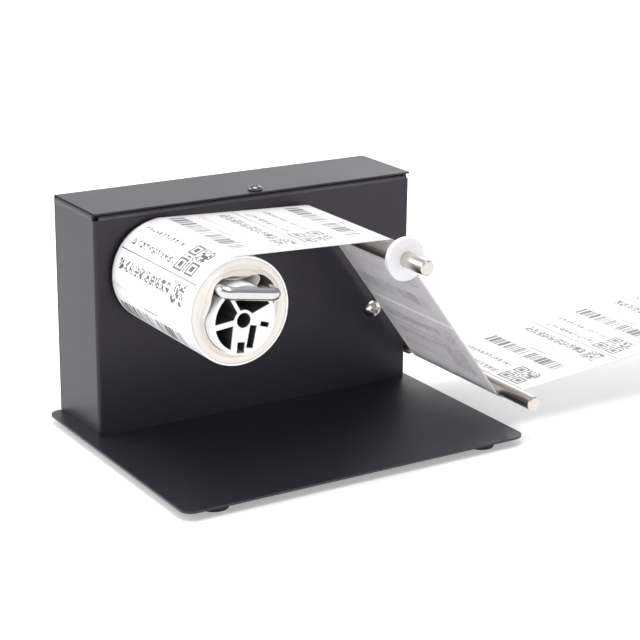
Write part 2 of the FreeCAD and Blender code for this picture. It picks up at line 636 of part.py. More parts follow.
def guide_rod(length):
    """Ground rod along +Z with a tapped foot and a chamfered free end."""
    body = cylinder("dims.rod_diameter", f"{length} - dims.rod_chamfer")
    tip = frustum("dims.rod_diameter", "dims.rod_diameter - 2 * dims.rod_chamfer", "dims.rod_chamfer",
                  f"{length} - dims.rod_chamfer")
    thread = cylinder("dims.screw5", "dims.rod_thread_depth")
    return cut(fuse(body, tip), thread)


def upper_guide():
    x = "dims.upper_rod_inset"
    z = "dims.upper_rod_height"
    node("upper_guide_rod", place(guide_rod("dims.upper_rod_length"), x, "0", z, FORWARDS))
    fixing = screw("screw5", f"{PANEL_INSIDE} + dims.rod_thread_depth - 1")
    node("upper_rod_screw", place(fixing, x, PANEL_INSIDE, z, FORWARDS))
    disc = cylinder("dims.collar_diameter", "dims.collar_width")

    def rim(edge):
        return isinstance(edge.Curve, Part.Circle)

    disc = rounded(disc, "dims.collar_edge", rim)
    hole = cylinder(snug("rod_diameter"), "dims.collar_width")
    y = "-(dims.upper_rod_length - dims.collar_setback - dims.collar_width)"
    node("guide_collar", place(cut(disc, hole), x, y, z, FORWARDS))


def swing_arm():
    """Arm inside the right side, its bush, pivot, rod and stop; the arm is built back upwards."""
    angle = f"{arm_angle()}"
    length = f"{arm_length()}"
    gauge = "dims.arm_gauge"
    pivot = (PIVOT_X, "dims.pivot_height")
    eye = cylinder("dims.arm_pivot_diameter", gauge)
    bar = spoke(length, "dims.arm_width", gauge, angle)
    tail = spoke("dims.arm_tail_length", "dims.arm_tail_width", gauge, "180")
    tip = cylinder("dims.arm_end_diameter", gauge, f"{LOWER_ROD_X} - {PIVOT_X}",
                   "dims.lower_rod_height - dims.pivot_height")
    rod_hole = cylinder(clear("screw5"), gauge, f"{LOWER_ROD_X} - {PIVOT_X}",
                        "dims.lower_rod_height - dims.pivot_height")
    bush_hole = cylinder("dims.arm_bush_diameter", gauge)
    spring_hole = cylinder("dims.spring_wire * 2", gauge, "-dims.spring_offset")
    plate = cut(fuse(eye, bar, tail, tip), rod_hole, bush_hole, spring_hole)
    node("swing_arm", place(plate, pivot[0], ARM_BACK, pivot[1], FORWARDS))

    bush = cut(cylinder("dims.arm_bush_diameter", gauge),
               cylinder(snug("screw6"), gauge))
    node("arm_bush", place(bush, pivot[0], ARM_BACK, pivot[1], FORWARDS))

    stack = f"({ARM_BACK} + dims.arm_play + dims.washer_gauge)"
    node("pivot_screw", place(screw("screw6", f"{stack} + dims.screw6"), pivot[0], "0", pivot[1], BACKWARDS))
    washers = []
    for depth in (PANEL_INSIDE, f"{ARM_BACK} + dims.arm_play"):
        ring = cut(cylinder("dims.washer_diameter", "dims.washer_gauge"),
                   cylinder(snug("screw6"), "dims.washer_gauge"))
        washers.append(place(ring, pivot[0], depth, pivot[1], BACKWARDS))
    node("pivot_washers", group(*washers))
    lock_nut = nut("screw6", "dims.screw6 * 1.67", "dims.screw6 * 0.8")
    node("pivot_nut", place(lock_nut, pivot[0], stack, pivot[1], BACKWARDS))

    x = LOWER_ROD_X
    z = "dims.lower_rod_height"
    rod = guide_rod(f"{ARM_FRONT} + dims.lower_rod_reach")
    node("lower_guide_rod", place(rod, x, ARM_FRONT, z, FORWARDS))
    fixing = screw("screw5", f"{gauge} + dims.rod_thread_depth - 1")
    node("lower_rod_screw", place(fixing, x, ARM_BACK, z, FORWARDS))

    slant = math.radians(arm_angle())
    aside = number("dims.arm_width / 2 + dims.stop_diameter / 2 + dims.fit_gap")
    along = number("dims.stop_distance")
    stop_x = along * math.cos(slant) + aside * math.sin(slant)
    stop_z = along * math.sin(slant) - aside * math.cos(slant)
    stop = cylinder("dims.stop_diameter", "dims.stop_length")
    node("arm_stop", place(stop, f"{pivot[0]} + {stop_x}", PANEL_INSIDE, f"{pivot[1]} + {stop_z}", BACKWARDS))


def return_spring():
    """Extension spring that draws the arm's tail up, and the post it hangs from."""
    middle = f"({ARM_FRONT} + dims.arm_gauge / 2)"
    tail_top = "(dims.pivot_height + dims.arm_tail_width / 2)"
    post_height = f"({tail_top} + dims.spring_reach)"
    post = cylinder("dims.post_diameter", "dims.post_length")
    node("spring_post", place(post, SPRING_X, PANEL_INSIDE, post_height, BACKWARDS))
    bottom = f"({tail_top} + dims.fit_gap)"
    top = f"({post_height} - dims.post_diameter / 2 - dims.fit_gap)"
    clear = f"({top} - {bottom})"
    coil_start = f"(({clear} - dims.spring_coil_length) / 2)"
    wires = "2 * dims.spring_wire"
    hollow = cylinder(f"dims.spring_diameter - {wires}", f"dims.spring_coil_length - {wires}",
                      z=f"{coil_start} + dims.spring_wire")
    coil = cut(cylinder("dims.spring_diameter", "dims.spring_coil_length", z=coil_start), hollow)
    lower_hook = cylinder("dims.spring_wire", coil_start)
    upper_hook = cylinder("dims.spring_wire", coil_start, z=f"{coil_start} + dims.spring_coil_length")
    node("return_spring", place(fuse(coil, lower_hook, upper_hook), SPRING_X, middle, bottom))


def limit_switch():
    """Switch above the arm's tail, on a bracket welded to the panel."""
    gauge = "dims.switch_bracket_gauge"
    tail_top = "(dims.pivot_height + dims.arm_tail_width / 2)"
    bottom = f"({tail_top} + dims.fit_gap + dims.plunger_length)"
    length = "dims.switch_length"
    height = "dims.switch_height"
    bracket = block(length, gauge, height, SWITCH_X, PANEL_INSIDE, bottom)
    case_front = f"({PANEL_INSIDE} + {gauge})"
    case = block(length, "dims.switch_depth", height, SWITCH_X, case_front, bottom)
    case_back = f"({case_front} + dims.switch_depth)"
    travel = "(dims.plunger_travel + dims.fit_gap)"
    well = block("dims.plunger_width + 2 * dims.hole_gap", "dims.plunger_width + 2 * dims.hole_gap",
                 f"dims.plunger_width + {travel}",
                 f"{PLUNGER_X} - dims.plunger_width / 2 - dims.hole_gap",
                 f"{case_front} + (dims.switch_depth - dims.plunger_width) / 2 - dims.hole_gap", bottom)
    holes = []
    screws = []
    taps = []
    for end in (0.2, 0.86):
        x = f"{SWITCH_X} + {end} * {length}"
        z = f"{bottom} + {height} * 0.75"
        holes.append(cylinder(clear("screw3"), "dims.switch_depth", x, case_back, z, FORWARDS))
        taps.append(cylinder(snug("screw3"), gauge, x, case_front, z, FORWARDS))
        screws.append(place(screw("screw3", f"dims.switch_depth + {gauge}"), x, case_back, z, FORWARDS))
    node("switch_bracket", place(cut(bracket, *taps), "0", "0", "0"))
    node("limit_switch", place(cut(case, well, *holes), "0", "0", "0"))
    node("switch_screws", group(*screws))
    plunger = block("dims.plunger_width", "dims.plunger_width", "dims.plunger_length + dims.plunger_width")
    node("switch_plunger", place(plunger, f"{PLUNGER_X} - dims.plunger_width / 2",
                                 f"{case_front} + (dims.switch_depth - dims.plunger_width) / 2",
                                 f"{tail_top} + dims.fit_gap"))


def control_board():
    """Circuit board on standoffs inside the back panel."""
    length = "dims.standoff_length"
    back = f"({BACK_INSIDE} - {length})"
    front = f"({back} - dims.board_gauge)"
    board = block("dims.board_width", "dims.board_gauge", "dims.board_height", "dims.board_inset", front,
                  "dims.board_level")
    holes = []
    standoffs = []
    inner = []
    outer = []
    for x, z in BOARD_POINTS:
        holes.append(cylinder(clear("screw3"), "dims.board_gauge", x, back, z, FORWARDS))
        post = cut(hexagon("dims.standoff_width", length), cylinder(snug("screw3"), length))
        standoffs.append(place(post, x, BACK_INSIDE, z, FORWARDS))
        inner.append(place(screw("screw3", f"dims.board_gauge + {length} * 0.4"), x, front, z, BACKWARDS))
        outer.append(place(screw("screw3", f"dims.lid_gauge + {length} * 0.4"), x, BACK_OUTSIDE, z, FORWARDS))
    node("control_board", place(cut(board, *holes), "0", "0", "0"))
    node("board_standoffs", group(*standoffs))
    node("board_screws", group(*inner))
    node("standoff_screws", group(*outer))
    # Relay, driver and connector on the board's front: width, depth and height, then place from its corner.
    parts = []
    for width, depth, height, along, up in ((19, 15, 15, 11, 15), (10, 3, 10, 36, 24), (20, 9, 8, 20, 2)):
        body = block(f"{width}", f"{depth}", f"{height}")
        place(body, f"dims.board_inset + {along}", f"{front} - {depth}", f"dims.board_level + {up}")
        parts.append(body)
    for along in (38, 48):
        can = cylinder("dims.capacitor_diameter", "dims.capacitor_height")
        parts.append(place(can, f"dims.board_inset + {along}", front, "dims.board_level + 17", FORWARDS))
    node("board_components", group(*parts))


def rocker_switch():
    """Power switch in the back panel; built outwards along +Z, its long side along Y."""
    width = "dims.rocker_width"
    height = "dims.rocker_height"
    rim = "dims.rocker_rim"
    bezel = block(width, height, "dims.rocker_bezel", f"-{width} / 2", f"-{height} / 2")
    body_width = f"({width} - 2 * {rim})"
    body_height = f"({height} - 2 * {rim})"
    depth = "dims.rocker_body_depth"
    body = block(body_width, body_height, depth, f"-{body_width} / 2", f"-{body_height} / 2", f"-{depth}")
    sideways = Rotation(Vector(0, 1, 0), 90)
    button_width = "dims.rocker_button_width"
    well_width = f"({button_width} + 2 * dims.fit_gap)"
    axis_depth = "-dims.rocker_bezel"
    reach = "(dims.rocker_radius + dims.fit_gap)"
    well = cylinder(f"2 * {reach}", well_width, f"-{well_width} / 2", "0", axis_depth, sideways)
    mouth = block(well_width, f"2 * {reach}", "dims.rocker_bezel * 2", f"-{well_width} / 2", f"-{reach}",
                  axis_depth)
    housing = cut(fuse(bezel, body), well, mouth)
    where = ("dims.rocker_inset", BACK_OUTSIDE, "dims.control_height")
    node("rocker_housing", place(housing, *where, BACKWARDS))
    drum = cylinder("2 * dims.rocker_radius", button_width, f"-{button_width} / 2", "0", axis_depth, sideways)
    dish_level = f"{axis_depth} + dims.rocker_radius + dims.rocker_dish - dims.rocker_dish_depth"
    dish = cylinder("2 * dims.rocker_dish", button_width, f"-{button_width} / 2", "0", dish_level, sideways)
    node("rocker_button", place(cut(drum, dish), *where, BACKWARDS))


def speed_control():
    """Potentiometer in the back panel with its nut, shaft and fluted knob; built outwards along +Z."""
    where = ("dims.knob_inset", BACK_OUTSIDE, "dims.control_height")
    gauge = "dims.lid_gauge"
    case = cylinder("dims.pot_diameter", "dims.pot_depth", z=f"-{gauge}", turn=DOWNWARDS)
    bush = cylinder("dims.pot_bush_diameter", f"dims.pot_bush_length + {gauge}", z=f"-{gauge}")
    bore = cylinder(snug("pot_shaft_diameter"),
                    f"dims.pot_bush_length + {gauge} + dims.pot_depth / 2",
                    z=f"-{gauge} - dims.pot_depth / 2")
    node("potentiometer", place(cut(fuse(case, bush), bore), *where, BACKWARDS))
    ring = cut(hexagon("dims.pot_nut_width", "dims.pot_nut_height"),
               cylinder(snug("pot_bush_diameter"), "dims.pot_nut_height"))
    node("pot_nut", place(ring, *where, BACKWARDS))
    knob_start = "(dims.pot_bush_length + dims.fit_gap)"
    shaft_start = f"({gauge} + dims.pot_depth / 2 - dims.fit_gap)"
    shaft = cylinder("dims.pot_shaft_diameter", f"{shaft_start} + {knob_start} + dims.knob_length * 0.7")
    node("pot_shaft", place(shaft, where[0], f"{BACK_OUTSIDE} - {shaft_start}", where[2], BACKWARDS))
    body = frustum("dims.knob_diameter", "dims.knob_top_diameter", "dims.knob_length", knob_start)
    tools = [cylinder("dims.pot_shaft_diameter", "dims.knob_length * 0.7", z=knob_start)]
    for index in range(FLUTES):
        turn = math.radians(360 * index / FLUTES)
        radius = "dims.knob_diameter / 2"
        tools.append(cylinder("dims.knob_flute", "dims.knob_length", f"{radius} * {math.cos(turn)}",
                              f"{radius} * {math.sin(turn)}", knob_start))
    mark = "dims.knob_mark"
    tools.append(block(mark, "dims.knob_top_diameter / 2", mark, f"-{mark} / 2", "0",
                       f"{knob_start} + dims.knob_length - {mark}"))
    node("speed_knob", place(cut(body, *tools), *where, BACKWARDS))


def power_inlet():
    """Round power socket in the back panel; built outwards along +Z."""
    where = ("dims.inlet_inset", BACK_OUTSIDE, "dims.control_height")
    flange = cylinder("dims.inlet_flange", "dims.inlet_flange_gauge")
    barrel = cylinder("dims.inlet_diameter", "dims.inlet_depth", turn=DOWNWARDS)
    mouth = "dims.inlet_flange_gauge - dims.inlet_bore_depth"
    bore = cylinder("dims.inlet_bore", "dims.inlet_bore_depth", z=mouth)
    pin = cylinder("dims.inlet_pin", "dims.inlet_bore_depth - 1", z=mouth)
    node("power_inlet", place(fuse(cut(fuse(flange, barrel), bore), pin), *where, BACKWARDS))
    ring = cut(hexagon("dims.inlet_nut_width", "dims.inlet_nut_height"),
               cylinder(snug("inlet_diameter"), "dims.inlet_nut_height"))
    node("inlet_nut", place(ring, where[0], BACK_INSIDE, where[2], FORWARDS))


def arc_strip(radius, start, sweep, x, z):
    """Part of a thin ring about a point of the front view, from one angle through another, in degrees."""
    gauge = number("dims.web_gauge")
    rings = []
    for size in (radius + gauge, radius):
        ring = doc.addObject("Part::Cylinder", "arc")
        ring.Radius = size
        ring.Angle = sweep
        bind(ring, Height="dims.web_width")
        ring.Placement = Placement(Vector(), Rotation(Vector(0, 0, 1), start))
        rings.append(ring)
    return place(cut(*rings), f"{x}", WEB_BACK, f"{z}", FORWARDS)


def flat_strip(start, angle, length, outward):
    """Flat stretch of the web from a point of the front view, its gauge on one side of its line."""
    strip = doc.addObject("Part::Box", "flat")
    strip.Length = length
    bind(strip, Width="dims.web_gauge", Height="dims.web_width")
    turn = Rotation(Vector(0, 0, 1), angle)
    shift = Vector(0, 0 if outward else -number("dims.web_gauge"), 0)
    corner = start.add(turn.multVec(shift))
    return place(strip, f"{corner.x}", WEB_BACK, f"{corner.y}", FORWARDS.multiply(turn))


def label_web():
    """Web from the roll, over the upper rod, down to the lower rod, under it and out to the right."""
    shift = along_fork(number("dims.roll_shift"), number("dims.roll_rise"))
    roll = Vector(number("dims.spindle_inset"), number("dims.spindle_height"), 0).add(shift)
    upper = Vector(number("dims.upper_rod_inset"), number("dims.upper_rod_height"), 0)
    lower = Vector(number(LOWER_ROD_X), number("dims.lower_rod_height"), 0)
    roll_radius = number(f"{ROLL_RADIUS} + dims.fit_gap")
    upper_radius = number("dims.rod_diameter / 2 + dims.bend_standoff")
    lower_radius = number("dims.rod_diameter / 2 + dims.fit_gap")

    def heading(vector):
        return math.degrees(math.atan2(vector.y, vector.x))

    def at(centre, radius, angle):
        turn = math.radians(angle)
        return Vector(centre.x + radius * math.cos(turn), centre.y + radius * math.sin(turn), 0)

    reach = upper.sub(roll)
    top_slope = heading(reach) - math.degrees(math.asin((roll_radius - upper_radius) / reach.Length))
    start = at(roll, roll_radius, top_slope + 90)
    meet = at(upper, upper_radius, top_slope + 90)
    top_run = flat_strip(start, top_slope, meet.sub(start).Length, True)

    drop = lower.sub(upper)
    gauge = number("dims.web_gauge")
    fall = heading(drop) - math.degrees(math.asin((upper_radius + gauge + lower_radius) / drop.Length))
    bend = arc_strip(upper_radius, fall + 90, top_slope - fall, upper.x, upper.y)
    node("label_web_top", fuse(top_run, bend))

    leave = at(upper, upper_radius, fall + 90)
    land = at(lower, lower_radius + gauge, fall - 90)
    node("label_web_span", flat_strip(leave, fall, land.sub(leave).Length, True))

    rise = number("dims.tail_rise")
    wrap = arc_strip(lower_radius, fall - 90, rise - fall, lower.x, lower.y)
    out = at(lower, lower_radius, rise - 90)
    tail = flat_strip(out, rise, number("dims.tail_length"), False)
    node("label_web_tail", fuse(wrap, tail))


base_and_feet()
front_shell()
rear_cover()
cover_fasteners()
motor()
spindle()
clamp_fork()
label_roll()
upper_guide()
swing_arm()
return_spring()
limit_switch()
control_board()
rocker_switch()
speed_control()
power_inlet()
label_web()
doc.recompute()

for item in doc.Objects:
    if "Invalid" in item.State or "Error" in item.State:
        raise RuntimeError(f"{item.Label} failed: {item.State}")
for item in nodes:
    if item.Shape.isNull() or not item.Shape.isValid():
        raise RuntimeError(f"{item.Label} has no valid shape")

os.makedirs("parts", exist_ok=True)
for item in nodes:
    item.Shape.exportStep(f"parts/{item.Label}.step")
    print(f"{item.Label}: {len(item.Shape.Solids)} solids, {item.Shape.Volume:.1f} mm3")
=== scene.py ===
import bpy
import bmesh
import json
import math
import random
from mathutils import Euler, Matrix, Vector


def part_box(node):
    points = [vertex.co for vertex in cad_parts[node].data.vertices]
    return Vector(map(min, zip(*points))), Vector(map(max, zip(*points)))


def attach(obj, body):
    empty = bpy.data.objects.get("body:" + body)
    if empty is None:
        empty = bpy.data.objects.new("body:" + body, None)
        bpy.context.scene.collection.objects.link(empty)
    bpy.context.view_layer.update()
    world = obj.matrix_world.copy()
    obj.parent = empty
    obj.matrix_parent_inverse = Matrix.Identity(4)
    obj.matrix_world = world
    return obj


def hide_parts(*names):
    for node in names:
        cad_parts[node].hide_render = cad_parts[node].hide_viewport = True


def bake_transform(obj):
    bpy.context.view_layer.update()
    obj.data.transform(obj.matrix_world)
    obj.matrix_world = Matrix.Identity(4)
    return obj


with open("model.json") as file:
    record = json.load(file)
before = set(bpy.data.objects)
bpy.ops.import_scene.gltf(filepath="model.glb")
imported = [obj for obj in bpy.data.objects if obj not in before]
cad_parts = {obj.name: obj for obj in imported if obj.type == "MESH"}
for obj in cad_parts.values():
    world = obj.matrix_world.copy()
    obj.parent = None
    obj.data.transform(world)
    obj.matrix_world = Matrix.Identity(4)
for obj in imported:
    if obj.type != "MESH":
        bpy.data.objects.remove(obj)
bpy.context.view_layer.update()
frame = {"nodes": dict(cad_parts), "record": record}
nodes = frame["nodes"]
scene = bpy.context.scene

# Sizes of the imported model, in millimetres, from the body's front left bottom corner on top of the base
# plate. LEFT, FRONT and DECK are that corner's own place in the shared frame. Points are in the front view.
MM = 0.001
LEFT, FRONT, DECK = -116.5, 39.0, 6.5
BODY_WIDTH, LID_UNDERSIDE = 240, 148.2
SPINDLE = Vector((43.06, 104.54))
ROLL = Vector((44.396, 107.897))
UPPER = Vector((151.5, 130.0))
LOWER = Vector((247.0, 21.5))
MANDREL_FACE, FORK_BAR = -114.5, -119.5
TILT = math.radians(-9.4)
QUARTER = math.pi / 2


def at(x, y, z):
    """Point of the shared frame, in metres, from the body's corner in millimetres."""
    return Vector(((x + LEFT) * MM, (y + FRONT) * MM, (z + DECK) * MM))


def placed(name, data):
    """New object in the scene."""
    item = bpy.data.objects.new(name, data)
    scene.collection.objects.link(item)
    return item


# Camera, fitted to the straight edges in the photo: angles in degrees
AZIMUTH, ELEVATION, LEAN = -32.07, 17.68, 0.63
CAMERA_PLACE = (-0.5969, -0.9965, 0.4492)
camera = placed("camera", bpy.data.cameras.new("camera"))
scene.camera = camera
camera.data.lens = 104.8
camera.data.sensor_width = 36.0
camera.data.clip_start = 0.01
aim = Euler((math.radians(90 - ELEVATION), 0, math.radians(AZIMUTH))).to_matrix()
aim = aim @ Matrix.Rotation(math.radians(LEAN), 3, "Z")
camera.matrix_world = Matrix.Translation(CAMERA_PLACE) @ aim.to_4x4()


# Node building
class Wire:
    """A socket that adds, multiplies and compares like a number and leaves the nodes behind."""

    def __init__(self, tree, socket):
        self.tree = tree
        self.socket = socket

    def math(self, operation, *others):
        item = self.tree.nodes.new("ShaderNodeMath")
        item.operation = operation
        for slot, value in zip(item.inputs, (self,) + others):
            if isinstance(value, Wire):
                self.tree.links.new(value.socket, slot)
            else:
                slot.default_value = value
        return Wire(self.tree, item.outputs[0])

    def __add__(self, other):
        return self.math("ADD", other)

    def __sub__(self, other):
        return self.math("SUBTRACT", other)

    def __mul__(self, other):
        return self.math("MULTIPLY", other)

    def __truediv__(self, other):
        return self.math("DIVIDE", other)

    def __gt__(self, other):
        return self.math("GREATER_THAN", other)

    def __lt__(self, other):
        return self.math("LESS_THAN", other)

    def __mod__(self, other):
        return self.math("FLOORED_MODULO", other)

    def floor(self):
        return self.math("FLOOR")

    def distance(self, other):
        return (self - other).math("ABSOLUTE")

    def larger(self, other):
        return self.math("MAXIMUM", other)

    def within(self, low, high):
        return (self > low) * (self < high)

    def outside(self):
        """1 where this is 0, and 0 where it is 1."""
        return self * -1.0 + 1.0

    def scaled(self, low, high):
        """The range 0 to 1 moved to another."""
        return self.math("MULTIPLY_ADD", high - low, low)


class Surface:
    """One material: a principled shader and short ways to add to it."""

    def __init__(self, name, **values):
        self.material = bpy.data.materials.new(name)
        self.material.use_nodes = True
        self.tree = self.material.node_tree
        self.shader = next(n for n in self.tree.nodes if n.type == "BSDF_PRINCIPLED")
        for key, value in values.items():
            self.set(key.replace("_", " ").title(), value)
        self.place = self.tree.nodes.new("ShaderNodeTexCoord")

    def join(self, value, slot):
        """Link a wire to a socket, or set the socket to a number or a colour."""
        if isinstance(value, Wire):
            self.tree.links.new(value.socket, slot)
        elif hasattr(value, "__len__"):
            slot.default_value = (*value, 1)
        else:
            slot.default_value = value

    def set(self, key, value):
        self.join(value, self.shader.inputs["IOR" if key == "Ior" else key])

    def add(self, kind, **settings):
        item = self.tree.nodes.new(kind)
        for key, value in settings.items():
            setattr(item, key, value)
        return item

    def split(self, place):
        """The coordinates of a place, each as a wire."""
        item = self.add("ShaderNodeSeparateXYZ")
        self.tree.links.new(place, item.inputs[0])
        return [Wire(self.tree, socket) for socket in item.outputs]

    def position(self, origin=(0, 0, 0)):
        """Place on the object in metres, counted from an origin."""
        mapping = self.add("ShaderNodeMapping")
        mapping.inputs["Location"].default_value = -Vector(origin)
        self.tree.links.new(self.place.outputs["Object"], mapping.inputs["Vector"])
        return self.split(mapping.outputs["Vector"])

    def across(self):
        """The UV map's two coordinates, in millimetres."""
        return self.split(self.place.outputs["UV"])[:2]

    def stretched(self, scale):
        """Place on the object, stretched by a factor for each axis."""
        mapping = self.add("ShaderNodeMapping")
        mapping.inputs["Scale"].default_value = scale
        self.tree.links.new(self.place.outputs["Object"], mapping.inputs["Vector"])
        return mapping.outputs["Vector"]

    def noise(self, scale, detail=3.0, rough=0.5, stretch=(1, 1, 1)):
        item = self.add("ShaderNodeTexNoise")
        item.inputs["Scale"].default_value = scale
        item.inputs["Detail"].default_value = detail
        item.inputs["Roughness"].default_value = rough
        self.tree.links.new(self.stretched(stretch), item.inputs["Vector"])
        return Wire(self.tree, item.outputs["Fac"])

    def grains(self, scale):
        item = self.add("ShaderNodeTexVoronoi")
        item.inputs["Scale"].default_value = scale
        self.tree.links.new(self.place.outputs["Object"], item.inputs["Vector"])
        return Wire(self.tree, item.outputs["Distance"])

    def chance(self, *coordinates):
        """A fixed random number for each whole coordinate."""
        item = self.add("ShaderNodeTexWhiteNoise", noise_dimensions="3D")
        place = self.add("ShaderNodeCombineXYZ")
        for slot, value in zip(place.inputs, coordinates):
            self.join(value, slot)
        self.tree.links.new(place.outputs[0], item.inputs["Vector"])
        return Wire(self.tree, item.outputs["Value"])

    def mixed(self, factor, first, second):
        """Colour between two colours."""
        item = self.add("ShaderNodeMix", data_type="RGBA")
        self.join(factor, item.inputs["Factor"])
        self.join(first, item.inputs[6])
        self.join(second, item.inputs[7])
        return Wire(self.tree, item.outputs[2])

    def bump(self, height, strength, distance):
        item = self.add("ShaderNodeBump")
        item.inputs["Strength"].default_value = strength
        item.inputs["Distance"].default_value = distance
        self.join(height, item.inputs["Height"])
        self.tree.links.new(item.outputs["Normal"], self.shader.inputs["Normal"])

    def thin(self, colour, share):
        """Let a share of the light through, as a sheet of paper does."""
        through = self.add("ShaderNodeBsdfTranslucent")
        self.tree.links.new(colour.socket, through.inputs["Color"])
        both = self.add("ShaderNodeMixShader")
        both.inputs[0].default_value = share
        self.tree.links.new(self.shader.outputs[0], both.inputs[1])
        self.tree.links.new(through.outputs[0], both.inputs[2])
        output = next(n for n in self.tree.nodes if n.type == "OUTPUT_MATERIAL")
        self.tree.links.new(both.outputs[0], output.inputs["Surface"])


# Coat, metal and plastic
COAT_TINT = (1.0, 0.93, 0.99)
COAT_DARK, COAT_LIGHT = (0.0062, 0.0060, 0.0098), (0.0098, 0.0094, 0.0148)
# Colour of the painted highlight along the shell's top bend
COAT_BEND_HIGHLIGHT = (0.075, 0.073, 0.078)
DUST = (0.16, 0.16, 0.16)
# Colours of the painted shade on the fork bar's upper side, and the roughness added there
BAR_SHADE_DARK, BAR_SHADE_LIGHT, SHADED_TOP_ROUGHNESS = (0.22, 0.23, 0.25), (0.30, 0.31, 0.33), 0.38


def powder_coat(name, dark=COAT_DARK, light=COAT_LIGHT, bend_highlight=None, dust=0, groove_shade_edge=None):
    """Black coat. Between two heights, if they are given, it is painted lighter: a painted highlight on a
    bend. It may be dusty, and left of a given place its reflection is nearly taken away: painted shade, as in
    a groove."""
    s = Surface(name, ior=1.5, specular_tint=COAT_TINT)
    fine = s.noise(1500, 2.0)
    cloud = s.noise(18, 4.0)
    colour = s.mixed(cloud * 0.6 + fine * 0.4, dark, light)
    if bend_highlight:
        # Painted highlight: a lighter, patchy band between two heights, for the light that the shell's top
        # bend catches under the lid
        height = s.position()[2]
        colour = s.mixed(height.within(*bend_highlight) * s.noise(90, 3.0), colour, COAT_BEND_HIGHLIGHT)
    if groove_shade_edge is not None:
        # Painted shade: left of the given place the coat keeps almost no reflection, so the lid's left edge
        # looks like the dark groove under it
        s.set("Specular IOR Level", (s.position()[0] < groove_shade_edge).scaled(0.5, 0.04))
    if dust:
        colour = s.mixed((s.grains(dust) < 0.03) * s.noise(300), colour, DUST)
    s.set("Base Color", colour)
    s.set("Roughness", (cloud * 0.5 + fine * 0.5).scaled(0.33, 0.46))
    s.bump(fine + s.grains(900) * 0.5, 0.2, 0.00008)
    return s.material


def steel(name, colour, rough, stretch, streak, strength, painted_shade=None):
    """Metal with fine lines along the direction that is stretched least. Where the given mask, a function of
    the surface, gives 1, the metal is painted grey, as painted shade, and is rough."""
    s = Surface(name, metallic=1.0)
    lines = s.noise(streak, 3.0, 0.6, stretch)
    cloud = s.noise(40, 3.0)
    darker = tuple(0.8 * c for c in colour)
    tone = s.mixed(lines * 0.6 + cloud * 0.4, darker, colour)
    sheen = (lines * 0.5 + cloud * 0.5).scaled(rough * 0.7, rough * 1.4)
    if painted_shade:
        # Painted shade: where the mask gives 1, darker grey colours and more roughness
        area = painted_shade(s)
        tone = s.mixed(area, tone, s.mixed(lines, BAR_SHADE_DARK, BAR_SHADE_LIGHT))
        sheen = sheen + area * SHADED_TOP_ROUGHNESS
    s.set("Base Color", tone)
    s.set("Roughness", sheen)
    s.bump(lines, strength, 0.00003)
    return s.material


def bar_top_shade(s):
    """Upper side of the fork's bar, which gets painted shade: sizes in metres from the spindle at the depth
    of the bar's middle.
    """
    lower_edge, half_length, back = 0.0191, 0.0165, 0.0042
    x, y, z = s.position(at(SPINDLE.x, FORK_BAR, SPINDLE.y))
    along = x * math.cos(TILT) + z * math.sin(TILT)
    above = z * math.cos(TILT) - x * math.sin(TILT)
    return (above > lower_edge) * along.within(-half_length, half_length) * (y < back)


def plastic(name, dark, light, rough, grain=1100, strength=0.15):
    s = Surface(name, ior=1.46)
    fine = s.noise(grain, 2.0)
    cloud = s.noise(30, 3.0)
    s.set("Base Color", s.mixed(cloud * 0.7 + fine * 0.3, dark, light))
    s.set("Roughness", (cloud * 0.4 + fine * 0.6).scaled(rough * 0.85, rough * 1.15))
    s.bump(fine, strength, 0.00006)
    return s.material


def mandrel_plastic():
    """White moulding, dark inside, where no light reaches between the spokes: sizes in metres."""
    rim_radius, lit_depth = 0.0203, 0.0006
    s = Surface("mandrel_plastic", ior=1.46)
    x, y, z = s.position(at(SPINDLE.x, MANDREL_FACE, SPINDLE.y))
    outer = (x * x + z * z).math("SQRT") > rim_radius
    pale = outer.larger(y < lit_depth)
    fine = s.noise(1100, 2.0)
    white = s.mixed(fine, (0.82, 0.82, 0.82), (0.88, 0.88, 0.88))
    s.set("Base Color", s.mixed(pale, (0.06, 0.06, 0.065), white))
    s.set("Roughness", fine.scaled(0.34, 0.44))
    s.bump(fine, 0.12, 0.00006)
    return s.material


# Label stock: sizes in millimetres. Along the web one label takes a pitch; an area of its print is given by
# two places in that pitch and two across the web.
PITCH, WEB = 84.0, 100.0
GAP_START, GAP_END, MARGIN = 25.5, 28.5, 1.5
BAR_WIDTH, BAR_SHARE, BARS = 0.95, 0.54, (4.5, 15.5, 5.0, 85.0)
RULES = ((19.2, 20.0, 40.0, 57.0), (51.3, 52.0, 2.5, 97.5))
# Area, rows of cells, cell width, letter pitch, gap between letters, share of dark cells
MARKS = (
    ((38.4, 45.6, 8.0, 72.0), 6, 1.1, 6.6, 1.1, 0.56),
    ((56.6, 61.0, 10.0, 62.0), 4, 1.0, 5.0, 1.2, 0.5),
    ((70.6, 74.0, 8.0, 60.0), 4, 0.8, 4.0, 1.3, 0.5),
)
SMALL_CODE, SMALL_CELLS = (35.0, 49.0, 75.0, 89.0), 11
LARGE_CODE, LARGE_CELLS = (54.5, 77.5, 65.0, 88.0), 17
RING_NEAR, RING_FAR = 3.0, LARGE_CELLS - 4.0
RINGS_AT = ((RING_NEAR, RING_NEAR), (RING_FAR, RING_NEAR), (RING_NEAR, RING_FAR))


